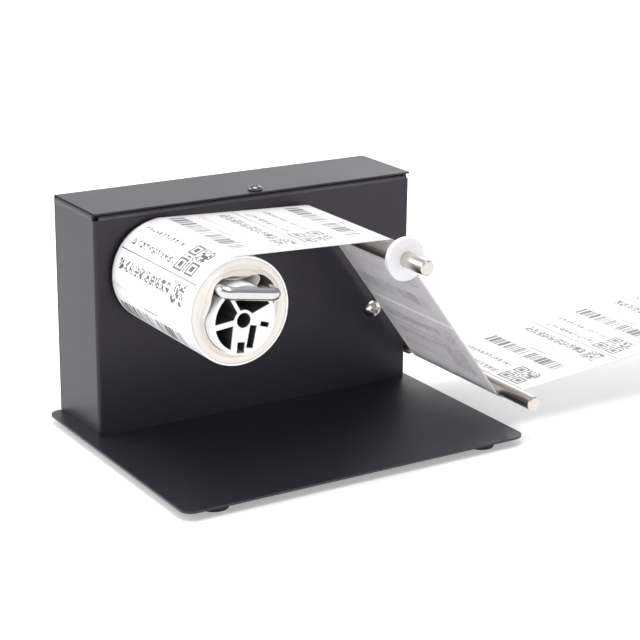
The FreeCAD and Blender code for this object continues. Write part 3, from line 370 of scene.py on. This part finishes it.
def print_mask(s):
    """Bars, dot blocks and rows of meaningless marks: 1 where the label is printed. Also the label's own
    area."""
    along, across = s.across()
    number = (along / PITCH).floor()
    row = along % PITCH

    def area(low, high, left, right):
        return row.within(low, high) * across.within(left, right)

    def marks(place, rows, module, letter, gap, fill):
        """Row of little blocks of random cells, each block as wide as a letter."""
        low, high, left = place[:3]
        line = ((row - low) * (rows / (high - low))).floor()
        column = ((across - left) / module).floor()
        dark = s.chance(column, line, number + low) < fill
        block = (across - left) % letter < letter - gap
        return dark * block * area(*place)

    def dots(place, cells, corners=()):
        """Square block of random cells, with a ringed square at each of the given cells."""
        low, high, left = place[:3]
        size = (high - low) / cells
        line = ((row - low) / size).floor()
        column = ((across - left) / size).floor()
        value = s.chance(column, line, number + left) < 0.5
        for x, y in corners:
            reach = column.distance(x).larger(line.distance(y))
            ring = (reach < 1.5) + reach.within(2.5, 3.5)
            near = reach < 4.5
            value = value * near.outside() + ring * near
        return value * area(*place)

    bars = s.chance((across / BAR_WIDTH).floor(), 7.0, 0.0) < BAR_SHARE
    ink = bars * area(*BARS)
    for rule in RULES:
        ink = ink + area(*rule)
    for mark in MARKS:
        ink = ink + marks(*mark)
    ink = ink + dots(SMALL_CODE, SMALL_CELLS) + dots(LARGE_CODE, LARGE_CELLS, RINGS_AT)
    label = row.within(GAP_START, GAP_END).outside() * across.within(MARGIN, WEB - MARGIN)
    return ink, label


def label_face(name, through, ink_and_sheen_tone=0.028):
    """Printed side; a share of the light may come through the sheet."""
    s = Surface(name, ior=1.55)
    ink, label = print_mask(s)
    fibre = s.noise(700, 4.0, 0.65)
    paper = s.mixed(fibre, (0.80, 0.79, 0.80), (0.88, 0.87, 0.88))
    stock = s.mixed(label, (0.70, 0.68, 0.65), paper)
    worn = ink * s.noise(2500, 2.0).scaled(0.75, 1.1)
    # The print's tone: the ink's own dark by default; a lighter tone is a painted reflection off the glossy
    # paper
    black = (ink_and_sheen_tone, ink_and_sheen_tone, 1.07 * ink_and_sheen_tone)
    s.set("Base Color", s.mixed(worn.math("MINIMUM", 1.0), stock, black))
    s.set("Roughness", fibre.scaled(0.3, 0.42))
    if through:
        s.thin(s.mixed(ink * 0.4, paper, (0.3, 0.3, 0.3)), through)
    s.bump(fibre * 0.4 + label * 0.6, 0.3, 0.00008)
    return s.material


def label_back():
    """Liner's back: the labels and their print are painted as darker tones and the gaps and edges as light
    lines, painted light shining through the sheet from behind.
    """
    s = Surface("liner_back", ior=1.45)
    ink, label = print_mask(s)
    fibre = s.noise(500, 4.0, 0.65)
    streak = s.noise(90, 4.0, 0.7, (5, 1, 5))
    liner = s.mixed(fibre * 0.4 + streak * 0.6, (0.64, 0.63, 0.65), (0.90, 0.89, 0.91))
    # Painted light through the sheet: the print shows as darker tones on the back
    liner = s.mixed(ink * 0.3, liner, (0.42, 0.41, 0.42))
    inner = s.across()[1].within(2.6, WEB - 2.6)
    # Painted light through the sheet: the gaps and edges, where no label lies, are light lines
    shown = s.mixed(label * inner, (0.99, 0.98, 0.98), liner)
    s.set("Base Color", shown)
    s.thin(shown, 0.5)
    s.set("Roughness", fibre.scaled(0.4, 0.55))
    s.bump(fibre, 0.2, 0.00006)
    return s.material


def roll_end():
    """Edges of many turns of paper, the outer ones whiter beyond a dark line: sizes in metres."""
    line_start, line_end = 0.0323, 0.0328
    thin_turn, thick_turn = 0.00022, 0.0009
    s = Surface("roll_end", ior=1.45)
    x, _, z = s.position(at(44.4, 0, 107.9))
    radius = (x * x + z * z).math("SQRT")
    turns = s.chance((radius / thin_turn).floor(), 1.0, 2.0)
    wide = s.chance((radius / thick_turn).floor(), 3.0, 5.0)
    cloud = s.noise(60, 3.0)
    colour = s.mixed(turns * 0.45 + wide * 0.35 + cloud * 0.2, (0.66, 0.61, 0.56), (0.88, 0.85, 0.81))
    colour = s.mixed(radius > line_end, colour, (0.92, 0.91, 0.91))
    line = radius.within(line_start, line_end) * cloud
    s.set("Base Color", s.mixed(line, colour, (0.34, 0.31, 0.29)))
    s.set("Roughness", turns.scaled(0.6, 0.75))
    s.bump(turns * 0.6 + wide * 0.4, 0.3, 0.0001)
    return s.material


# One look for each of the record's slots, and looks of their own for some nodes
EVEN = (1, 1, 1)
# Heights of the painted highlight on the shell's top bend, and the place where the cover's painted edge shade
# starts
HIGHLIGHT_LOW, HIGHLIGHT_HIGH, COVER_SHADE_EDGE = 144.8, 146.2, 0.3
looks = {
    "black_coat": powder_coat("black_coat"),
    "black_screw": powder_coat("black_screw", (0.009, 0.009, 0.01), (0.014, 0.014, 0.015)),
    "bright_steel": steel("rod_steel", (0.72, 0.67, 0.63), 0.3, (12, 1, 12), 260, 0.25),
    "zinc_steel": steel("zinc_steel", (0.62, 0.63, 0.64), 0.3, EVEN, 500, 0.08),
    "spring_steel": steel("spring_steel", (0.55, 0.55, 0.55), 0.25, (1, 1, 6), 500, 0.08),
    "bronze": steel("bronze", (0.62, 0.44, 0.22), 0.3, EVEN, 600, 0.1),
    "black_rubber": plastic("black_rubber", (0.012, 0.012, 0.012), (0.02, 0.02, 0.02), 0.75, 800, 0.3),
    "white_plastic": mandrel_plastic(),
    "white_nylon": plastic("white_nylon", (0.70, 0.69, 0.71), (0.78, 0.77, 0.79), 0.34),
    "label_stock": label_face("label_print", 0),
    "black_plastic": plastic("black_plastic", (0.014, 0.014, 0.015), (0.022, 0.022, 0.023), 0.45),
    "red_plastic": plastic("red_plastic", (0.42, 0.02, 0.016), (0.5, 0.03, 0.02), 0.25, 900, 0.05),
    "circuit_board": plastic("circuit_board", (0.012, 0.09, 0.035), (0.02, 0.14, 0.055), 0.35),
}
own_looks = {
    # The fork's bar gets painted shade on its upper side
    "clamp_fork": steel("fork_steel", (0.70, 0.69, 0.68), 0.16, (1, 12, 12), 220, 0.06, bar_top_shade),
    # The shell's coat gets a painted highlight on its top bend
    "front_shell": powder_coat("shell_coat", bend_highlight=(at(0, 0, HIGHLIGHT_LOW).z, at(0, 0, HIGHLIGHT_HIGH).z)),
    # The cover's coat gets painted shade along the lid's left edge
    "rear_cover": powder_coat("cover_coat", groove_shade_edge=at(COVER_SHADE_EDGE, 0, 0).x),
    "base_plate": powder_coat("plate_coat", (0.0098, 0.0096, 0.0142), (0.0150, 0.0146, 0.0212), dust=95),
    # The mandrel's screw takes the black screw look: painted shade, keeping the middle of the shaded bore
    # dark
    "mandrel_screw": looks["black_screw"],
}
for entry in frame["record"]["subparts"]:
    mesh = nodes[entry["node"]].data
    mesh.materials.clear()
    mesh.materials.append(own_looks.get(entry["node"], looks[entry["material_slot"]]))
web_look = label_face("web_print", 0.28)
span_look = label_face("span_print", 0.48)
# The top run's print is painted lighter: a painted reflection of the bright room, seen at a grazing angle on
# the glossy paper
top_sheen_look = label_face("top_print_sheen", 0.28, 0.15)
back_look = label_back()
end_look = roll_end()
# The wall of the roll's hole is painted dark: painted shade, for the little light inside the hole
hole_shade_look = plastic("roll_hole_shade", (0.10, 0.09, 0.085), (0.16, 0.15, 0.14), 0.6, 700, 0.3)


# Web and roll, in millimetres. A face's radius is that of the printed side round the roll or a rod.
ROLL_FACE, UPPER_FACE, LOWER_FACE = 34.6, 8.3, 5.3
GAUGE = 0.3
LABEL_STEP = 0.07
WEB_BACK, WEB_FRONT = -7.0, -107.0
# The roll's turns don't lie quite in line, so it is wider than the web, at the back.
ROLL_EXTRA = 4.5
RISE = math.radians(5.0)
TAIL_LENGTH = 212.0
# Where in the pitch the print starts on the top run and on the tail
TOP_START, TAIL_START = 2.0, -55.0
# Places across the web that have points, close together at the labels' edges
ACROSS = [0, 1.44, 1.56, 6, 12, 20, 30, 40, 50, 60, 70, 80, 88, 94, 98.44, 98.56, 100]


def direction(angle):
    return Vector((math.cos(angle), math.sin(angle)))


def polar(centre, radius, angle):
    return centre + radius * direction(angle)


def tangent(first, second, reach):
    """Heading of the line between two points, turned down to keep a distance from one side to the other."""
    line = second - first
    return math.atan2(line.y, line.x) - math.asin(reach / line.length)


SLOPE = tangent(ROLL, UPPER, ROLL_FACE - UPPER_FACE)
FALL = tangent(UPPER, LOWER, UPPER_FACE + LOWER_FACE)


def straight(first, second, heading, step=2.0):
    """Stations of a straight run: point on the printed side, its outward direction, thickness."""
    count = max(2, round((second - first).length / step))
    out = Vector((-math.sin(heading), math.cos(heading)))
    return [(first.lerp(second, i / count), out, GAUGE) for i in range(count + 1)]


def curved(centre, radius, start, end, side, count=14):
    """Stations of a bend; side is 1 where the printed side is outside and -1 where it is inside."""
    angles = [start + (end - start) * i / count for i in range(count + 1)]
    return [(polar(centre, radius, angle), direction(angle) * side, GAUGE) for angle in angles]


def lead_in(count=20, sweep=math.radians(18)):
    """The last of the roll's outer turn, thinned to nothing, so that the web seems to grow out of the
    roll."""
    low_face, low_gauge = 34.05, 0.03
    stations = []
    for i in range(count):
        share = i / count
        ease = share * share * (3 - 2 * share)
        out = direction(SLOPE + QUARTER + sweep * (1 - share))
        point = ROLL + out * (low_face + (ROLL_FACE - low_face) * ease)
        stations.append((point, out, low_gauge + (GAUGE - low_gauge) * ease))
    return stations


def measured(stations, start):
    """Stations with their length along the web, and more of them at the edges of each label."""
    lengths = [0.0]
    for one, two in zip(stations, stations[1:]):
        lengths.append(lengths[-1] + (two[0] - one[0]).length)
    marks = [(start + length, *station) for length, station in zip(lengths, stations)]
    edges = [edge + shift for edge in (GAP_START, GAP_END) for shift in (-0.06, 0.06)]
    extra = []
    for one, two in zip(marks, marks[1:]):
        for edge in edges:
            along = math.ceil((one[0] - edge) / PITCH) * PITCH + edge
            if one[0] < along < two[0]:
                share = (along - one[0]) / (two[0] - one[0])
                out = one[2].lerp(two[2], share).normalized()
                thickness = one[3] + (two[3] - one[3]) * share
                extra.append((along, one[1].lerp(two[1], share), out, thickness))
    return sorted(marks + extra, key=lambda mark: mark[0])


def build(name, points, faces, materials, slots=None, uvs=None, smooth=True):
    """Closed piece from points and faces, with each face's material slot and each point's place in the UV
    map."""
    slots = slots or [0] * len(faces)
    uvs = uvs or [(0, 0)] * len(points)
    mesh = bpy.data.meshes.new(name)
    mesh.from_pydata(points, [], faces)
    for material in materials:
        mesh.materials.append(material)
    layer = mesh.uv_layers.new(name="UVMap")
    for polygon, slot in zip(mesh.polygons, slots):
        polygon.material_index = slot
        polygon.use_smooth = smooth
    for loop in mesh.loops:
        layer.data[loop.index].uv = uvs[loop.vertex_index]
    solid = bmesh.new()
    solid.from_mesh(mesh)
    bmesh.ops.remove_doubles(solid, verts=solid.verts, dist=1e-6)
    bmesh.ops.recalc_face_normals(solid, faces=solid.faces)
    solid.to_mesh(mesh)
    solid.free()
    mesh.update()
    return placed(name, mesh)


def strip_faces(count, wide, other):
    """Faces of a closed strip and their slots, from stations that each have a front and a back row of
    points. The front has slot 0, the back and the edges have the other one."""
    faces, slots = [], []
    stride = 2 * wide
    for i in range(count - 1):
        for j in range(wide - 1):
            a = i * stride + j
            b = a + wide
            faces.append((a, a + stride, a + stride + 1, a + 1))
            faces.append((b, b + 1, b + stride + 1, b + stride))
            slots += [0, other]
        for j, turn in ((0, False), (wide - 1, True)):
            a = i * stride + j
            face = (a, a + wide, a + wide + stride, a + stride)
            faces.append(face[::-1] if turn else face)
            slots.append(other)
    for i, turn in ((0, True), (count - 1, False)):
        for j in range(wide - 1):
            a = i * stride + j
            face = (a, a + wide, a + wide + 1, a + 1)
            faces.append(face[::-1] if turn else face)
            slots.append(other)
    return faces, slots


def web(name, marks, face_look, extra=0.0):
    """Closed thin strip: printed side, back and four edges, the labels a step above their liner. It may start
    wider at the back."""
    points, uvs = [], []
    start, end = marks[0][0], marks[-1][0]
    for along, point, out, thickness in marks:
        wider = extra * (end - along) / (end - start)
        gap = GAP_START < along % PITCH < GAP_END
        for side in (0, 1):
            for across in ACROSS:
                bare = gap or not MARGIN < across < WEB - MARGIN
                drop = thickness if side else (min(LABEL_STEP, thickness / 3) if bare else 0.0)
                spot = point - out * drop
                points.append(at(spot.x, WEB_BACK - across + wider * (1 - across / WEB), spot.y))
                uvs.append((along, across))
    faces, slots = strip_faces(len(marks), len(ACROSS), 1)
    return build(name, points, faces, (face_look, back_look), slots, uvs)


leaves_roll = polar(ROLL, ROLL_FACE, SLOPE + QUARTER)
meets_upper = polar(UPPER, UPPER_FACE, SLOPE + QUARTER)
leaves_upper = polar(UPPER, UPPER_FACE, FALL + QUARTER)
meets_lower = polar(LOWER, LOWER_FACE, FALL - QUARTER)
leaves_lower = polar(LOWER, LOWER_FACE, RISE - QUARTER)
TAIL_END = leaves_lower + direction(RISE) * TAIL_LENGTH

lead = lead_in()
top_stations = lead + straight(leaves_roll, meets_upper, SLOPE)
top_stations += curved(UPPER, UPPER_FACE, SLOPE + QUARTER, FALL + QUARTER, 1)[1:]
lead_line = [station[0] for station in top_stations[:len(lead) + 1]]
lead_length = sum((b - a).length for a, b in zip(lead_line, lead_line[1:]))
top_marks = measured(top_stations, TOP_START - lead_length)
web_top = web("web_top", top_marks, top_sheen_look, ROLL_EXTRA)
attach(web_top, "frame")
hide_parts("label_web_top")

span_marks = measured(straight(leaves_upper, meets_lower, FALL), top_marks[-1][0])
web_span = web("web_span", span_marks, span_look)
at(leaves_upper.x, -57, leaves_upper.y)
at(meets_lower.x, -57, meets_lower.y)
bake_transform(web_span)
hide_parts("label_web_span")

tail_stations = curved(LOWER, LOWER_FACE, FALL - QUARTER, RISE - QUARTER, -1)
tail_stations += straight(leaves_lower, TAIL_END, RISE)[1:]
web_tail = web("web_tail", measured(tail_stations, TAIL_START), web_look)
at(leaves_lower.x, -57, leaves_lower.y)
at(TAIL_END.x, -57, TAIL_END.y)
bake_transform(web_tail)
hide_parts("label_web_tail")

# The hole in the roll, as the paper lies round the mandrel and the fork's prongs: angle from the bar, radius.
HOLE = [(-12, 22.1), (15, 24.4), (30, 28.8), (43, 30.3), (56, 30.0), (65, 29.2), (80, 25.8), (92, 25.0),
        (104, 25.6), (115, 26.6), (125, 28.2), (136, 28.9), (148, 27.0), (160, 24.4), (176, 22.4),
        (192, 22.1), (348, 22.1)]
HOLE_START, HOLE_LEAST = -12, 22.0
LIP_ANGLE, LIP_WIDTH, LIP_REACH, LIP_HEIGHT = 150.0, 42.0, 0.7, 6.5
TURNS, RINGS = 168, 28
RECESSED_RINGS, RECESS = 9, 0.75
ROLL_RADIUS = 33.98


def hole_point(angle):
    """Point of the hole's edge at an angle of the front view, on a smooth curve through the given radii."""
    turn = (math.degrees(angle - TILT) - HOLE_START) % 360 + HOLE_START
    for i, ((low, near), (high, far)) in enumerate(zip(HOLE, HOLE[1:])):
        if low <= turn <= high:
            before, after = HOLE[max(i - 1, 0)][1], HOLE[min(i + 2, len(HOLE) - 1)][1]
            t = (turn - low) / (high - low)
            bend = 2 * before - 5 * near + 4 * far - after
            twist = 3 * (near - far) + after - before
            radius = near + 0.5 * t * (far - before + t * (bend + t * twist))
            return polar(SPINDLE, max(radius, HOLE_LEAST), angle)


def pulled(angle, share):
    """How far the inner turns are pulled forward beside the fork's left prong."""
    away = abs((math.degrees(angle - TILT) - LIP_ANGLE + 180) % 360 - 180) / LIP_WIDTH
    inner = max(0.0, 1 - share / LIP_REACH)
    return LIP_HEIGHT * max(0.0, 1 - away * away) ** 2 * inner * inner * (3 - 2 * inner)


def roll():
    """Wound roll: printed outer turn, ends with the edges of the turns, and the hole."""
    draws = random.Random(11)
    points, uvs, faces, slots = [], [], [], []
    first = SLOPE + QUARTER
    lifts = [draws.uniform(-0.12, 0.12) for ring in range(RINGS + 1)]
    wobble = [draws.uniform(-0.05, 0.0) for turn in range(TURNS)]
    angles = [first + 2 * math.pi * turn / TURNS for turn in range(TURNS + 1)]
    rim = [polar(ROLL, ROLL_RADIUS + wobble[turn % TURNS], angle) for turn, angle in enumerate(angles)]

    def add(point, y, uv):
        points.append(at(point.x, y, point.y))
        uvs.append(uv)

    def rings_at(y, sign):
        """One end of the roll; sign is 1 at the front and -1 at the back."""
        start = len(points)
        for ring in range(RINGS + 1):
            share = ring / RINGS
            lift = lifts[ring] * (ring < RINGS) + RECESS * (ring < RECESSED_RINGS)
            for turn in range(TURNS):
                depth = sign * lift - pulled(angles[turn], share) * (sign > 0)
                add(hole_point(angles[turn]).lerp(rim[turn], share), y + depth, (0.0, 0.0))
        for ring in range(RINGS):
            for turn in range(TURNS):
                a = start + ring * TURNS + turn
                b = start + ring * TURNS + (turn + 1) % TURNS
                face = (a, a + TURNS, b + TURNS, b)
                faces.append(face if sign > 0 else face[::-1])
                slots.append(1)
        return start

    front = rings_at(WEB_FRONT, 1)
    back = rings_at(WEB_BACK + ROLL_EXTRA, -1)
    # Wall of the hole, painted dark as painted shade
    for turn in range(TURNS):
        a, b = turn, (turn + 1) % TURNS
        faces.append((front + a, front + b, back + b, back + a))
        slots.append(2)
    start, columns = len(points), TURNS + 1
    for across in ACROSS:
        y = WEB_BACK - across + ROLL_EXTRA * (1 - across / WEB)
        for angle, point in zip(angles, rim):
            add(point, y, (TOP_START - (angle - first) * ROLL_FACE, across))
    for row in range(len(ACROSS) - 1):
        for turn in range(TURNS):
            a = start + row * columns + turn
            faces.append((a, a + 1, a + columns + 1, a + columns))
            slots.append(0)
    materials = (looks["label_stock"], end_look, hole_shade_look)
    return build("paper_roll", points, faces, materials, slots, uvs)


paper_roll = roll()
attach(paper_roll, "spindle")
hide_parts("label_roll")

# The web's inner end: its line along and above the fork's bar from the spindle, and the depths of its points
LEAF_LINE = [(-13.0, 23.4), (-9.0, 22.9), (-5.0, 23.0), (-2.0, 23.6), (3.0, 25.0), (7.0, 26.3), (10.5, 26.4),
             (12.2, 24.6), (12.0, 22.0), (10.6, 19.6)]
LEAF_DEPTHS = [-106.4, -100, -90, -75, -60]
LEAF_GAUGE = 0.16
LEAF_LEAN = Vector((0.5, 0.3)) * 0.8


def leaf():
    """End of the web, curled inside the roll above the fork's bar."""
    path = []
    for one, two in zip(LEAF_LINE, LEAF_LINE[1:]):
        path += [Vector(one).lerp(Vector(two), i / 5) for i in range(5)]
    path.append(Vector(LEAF_LINE[-1]))
    for _ in range(4):
        middle = [(a + 2 * b + c) / 4 for a, b, c in zip(path, path[1:], path[2:])]
        path = [path[0]] + middle + [path[-1]]
    points, uvs = [], []
    turn = Matrix.Rotation(TILT, 2)
    for i, spot in enumerate(path):
        ahead, behind = path[min(i + 1, len(path) - 1)], path[max(i - 1, 0)]
        out = Vector((behind.y - ahead.y, ahead.x - behind.x)).normalized()
        for side in (0, 1):
            for j, depth in enumerate(LEAF_DEPTHS):
                place = SPINDLE + turn @ (spot - out * (LEAF_GAUGE * side) - LEAF_LEAN * j)
                points.append(at(place.x, depth, place.y))
                uvs.append((30.0 + i, 10.0 + j))
    faces, slots = strip_faces(len(path), len(LEAF_DEPTHS), 0)
    return build("web_leaf", points, faces, (end_look,), slots, uvs)


web_leaf = leaf()
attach(web_leaf, "spindle")


def coil_spring():
    """Extension spring: close coils of round wire and a straight end each way, as one swept tube."""
    low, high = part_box("return_spring")
    middle = (low + high) / 2
    wire, half_coil, end_gap = 0.5 * MM, 11 * MM, 1.5 * MM
    turns, steps, sides = 20, 20, 8
    radius = (high.x - low.x) / 2 - wire
    coil_low, coil_high = middle.z - half_coil, middle.z + half_coil
    line = [Vector((middle.x, middle.y, z)) for z in (low.z, coil_low - end_gap)]
    for i in range(turns * steps + 1):
        spot = polar(middle.xy, radius, 2 * math.pi * i / steps)
        line.append(Vector((*spot, coil_low + (coil_high - coil_low) * i / (turns * steps))))
    line += [Vector((middle.x, middle.y, z)) for z in (coil_high + end_gap, high.z)]
    points, faces = [], []
    for i, spot in enumerate(line):
        along = (line[min(i + 1, len(line) - 1)] - line[max(i - 1, 0)]).normalized()
        outward = Vector((spot.x - middle.x, spot.y - middle.y, 0))
        outward = outward if outward.length > 1e-6 else Vector((1, 0, 0))
        across = (outward - along * outward.dot(along)).normalized()
        third = along.cross(across)
        for k in range(sides):
            angle = 2 * math.pi * k / sides
            points.append(spot + (across * math.cos(angle) + third * math.sin(angle)) * wire)
    for i in range(len(line) - 1):
        for k in range(sides):
            a, b = i * sides + k, i * sides + (k + 1) % sides
            faces.append((a, b, b + sides, a + sides))
    faces.append(tuple(range(sides))[::-1])
    faces.append(tuple(range(len(points) - sides, len(points))))
    return build("wound_spring", points, faces, (looks["spring_steel"],))


wound_spring = coil_spring()
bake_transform(wound_spring)
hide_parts("return_spring")


def tongues():
    """Two tongues of the lid's sheet, bent down behind the shell's front corners, with rounded ends."""
    wide, thick, tall, corner = 5.6, 1.0, 7.4, 1.6
    inset, face = 1.9, 3.7
    centre = LID_UNDERSIDE - tall + corner
    points, faces = [], []
    for left in (inset, BODY_WIDTH - inset - wide):
        outline = [(left, LID_UNDERSIDE), (left, centre)]
        for middle, turn in ((left + corner, 180), (left + wide - corner, 270)):
            for step in range(7):
                angle = math.radians(turn + 15 * step)
                outline.append((middle + corner * math.cos(angle), centre + corner * math.sin(angle)))
        outline += [(left + wide, centre), (left + wide, LID_UNDERSIDE)]
        start, count = len(points), len(outline)
        for y in (face, face + thick):
            points += [at(x, y, z) for x, z in outline]
        faces.append(tuple(range(start, start + count)))
        faces.append(tuple(range(start + 2 * count - 1, start + count - 1, -1)))
        for i in range(count):
            j = (i + 1) % count
            faces.append((start + j, start + i, start + count + i, start + count + j))
    return build("lid_tongues", points, faces, (looks["black_coat"],), smooth=False)


lid_tongues = tongues()
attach(lid_tongues, "frame")

# The screws' cross recess, as shares of the head's radius and height
CROSS_REACH, CROSS_WIDTH, CROSS_DEPTH = 0.52, 0.12, 0.5
REACH_FADE, WIDTH_FADE = 0.12, 0.05


def pan_screw(name, node, out, radius, head, shank, material):
    """Screw in a node's place: smooth dome with a cross recess, flat underneath, and a plain shank."""
    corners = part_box(node)
    middle = (corners[0] + corners[1]) / 2
    reach = [corner.dot(out) for corner in corners]
    base = middle - out * middle.dot(out) + out * (max(reach) - head)
    length = max(reach) - head - min(reach)
    side = Vector((1, 0, 0))
    other = out.cross(side)
    rings, turns = 30, 64
    circle = [direction(2 * math.pi * turn / turns) for turn in range(turns)]
    points, faces = [], []

    def add(x, y, z):
        points.append(base + side * x + other * y + out * z)

    def soft(inside, fade):
        return min(1, max(0, inside / (fade * radius) + 0.5))

    def arm(a, b):
        """Depth of one slot of the cross, 0 to 1, with soft edges."""
        return soft(CROSS_REACH * radius - a, REACH_FADE) * soft(CROSS_WIDTH * radius - b, WIDTH_FADE)

    add(0, 0, head - CROSS_DEPTH * head)
    for ring in range(1, rings + 1):
        share = ring / rings
        dome = head * (1 - share ** 2.4) ** (1 / 2.2)
        for spot in circle:
            x, y = share * radius * spot
            cross = max(arm(abs(x), abs(y)), arm(abs(y), abs(x)))
            add(x, y, dome - CROSS_DEPTH * head * cross)
    for depth in (0.0, -length):
        for spot in circle:
            add(shank * spot.x, shank * spot.y, depth)
    for turn in range(turns):
        after = (turn + 1) % turns
        faces.append((0, 1 + turn, 1 + after))
        for ring in range(rings + 1):
            a = 1 + ring * turns
            faces.append((a + turn, a + turns + turn, a + turns + after, a + after))
    faces.append(tuple(range(len(points) - turns, len(points))))
    item = build(name, points, faces, (material,))
    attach(item, "frame")
    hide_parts(node)
    return item


screw_steel = steel("screw_steel", (0.74, 0.72, 0.70), 0.16, EVEN, 500, 0.05)
panel_screw = pan_screw("panel_screw", "pivot_screw", Vector((0, -1, 0)), 6.5 * MM, 4.4 * MM, 3 * MM,
                        screw_steel)
black_zinc = steel("black_zinc", (0.16, 0.155, 0.16), 0.22, EVEN, 500, 0.05)
top_screw = pan_screw("top_screw", "lid_screw", Vector((0, 0, 1)), 5.0 * MM, 3.2 * MM, 2.5 * MM,
                      black_zinc)


# Light: a white room, dimmer overhead, and three soft panels
world = bpy.data.worlds.new("studio")
scene.world = world
world.use_nodes = True
room = world.node_tree
background = next(n for n in room.nodes if n.type == "BACKGROUND")
background.inputs["Color"].default_value = (1, 1, 1, 1)
view = room.nodes.new("ShaderNodeTexCoord")
height = room.nodes.new("ShaderNodeSeparateXYZ")
fade = room.nodes.new("ShaderNodeMapRange")
room.links.new(view.outputs["Generated"], height.inputs[0])
room.links.new(height.outputs[2], fade.inputs["Value"])
room.links.new(fade.outputs[0], background.inputs["Strength"])
for key, value in (("From Min", 0.3), ("From Max", 0.55), ("To Min", 1.5), ("To Max", 0.35)):
    fade.inputs[key].default_value = value


def panel_light(name, place, target, size, power):
    data = bpy.data.lights.new(name, "AREA")
    data.shape = "RECTANGLE"
    data.size, data.size_y = size
    data.energy = power
    place, target = Vector(place), Vector(target)
    turn = (target - place).to_track_quat("-Z", "Y").to_matrix().to_4x4()
    placed(name, data).matrix_world = Matrix.Translation(place) @ turn


panel_light("top", (-0.02, 0.05, 1.6), (-0.02, 0, 0.05), (1.0, 1.4), 25)
panel_light("back", (1.2, 0.9, 1.15), (0.05, 0, 0.05), (0.8, 0.8), 7.5)
panel_light("left", (-1.0, 0.9, 0.8), (-0.6, 0.5, 0.0), (1.0, 1.0), 10)

# Floor: a pale disc that glows a little, so that shadows stay light
FLOOR_RADIUS, FLOOR_SIDES = 0.95, 96
floor_mesh = bpy.data.meshes.new("floor")
rim = [direction(2 * math.pi * side / FLOOR_SIDES) * FLOOR_RADIUS for side in range(FLOOR_SIDES)]
floor_mesh.from_pydata([(*spot, 0) for spot in rim], [], [tuple(range(FLOOR_SIDES))])
floor = placed("floor", floor_mesh)
pale = Surface("floor", base_color=(0.74, 0.74, 0.74), roughness=0.7, emission_color=(1, 1, 1),
               emission_strength=0.3)
floor_mesh.materials.append(pale.material)

scene.view_settings.view_transform = "Standard"
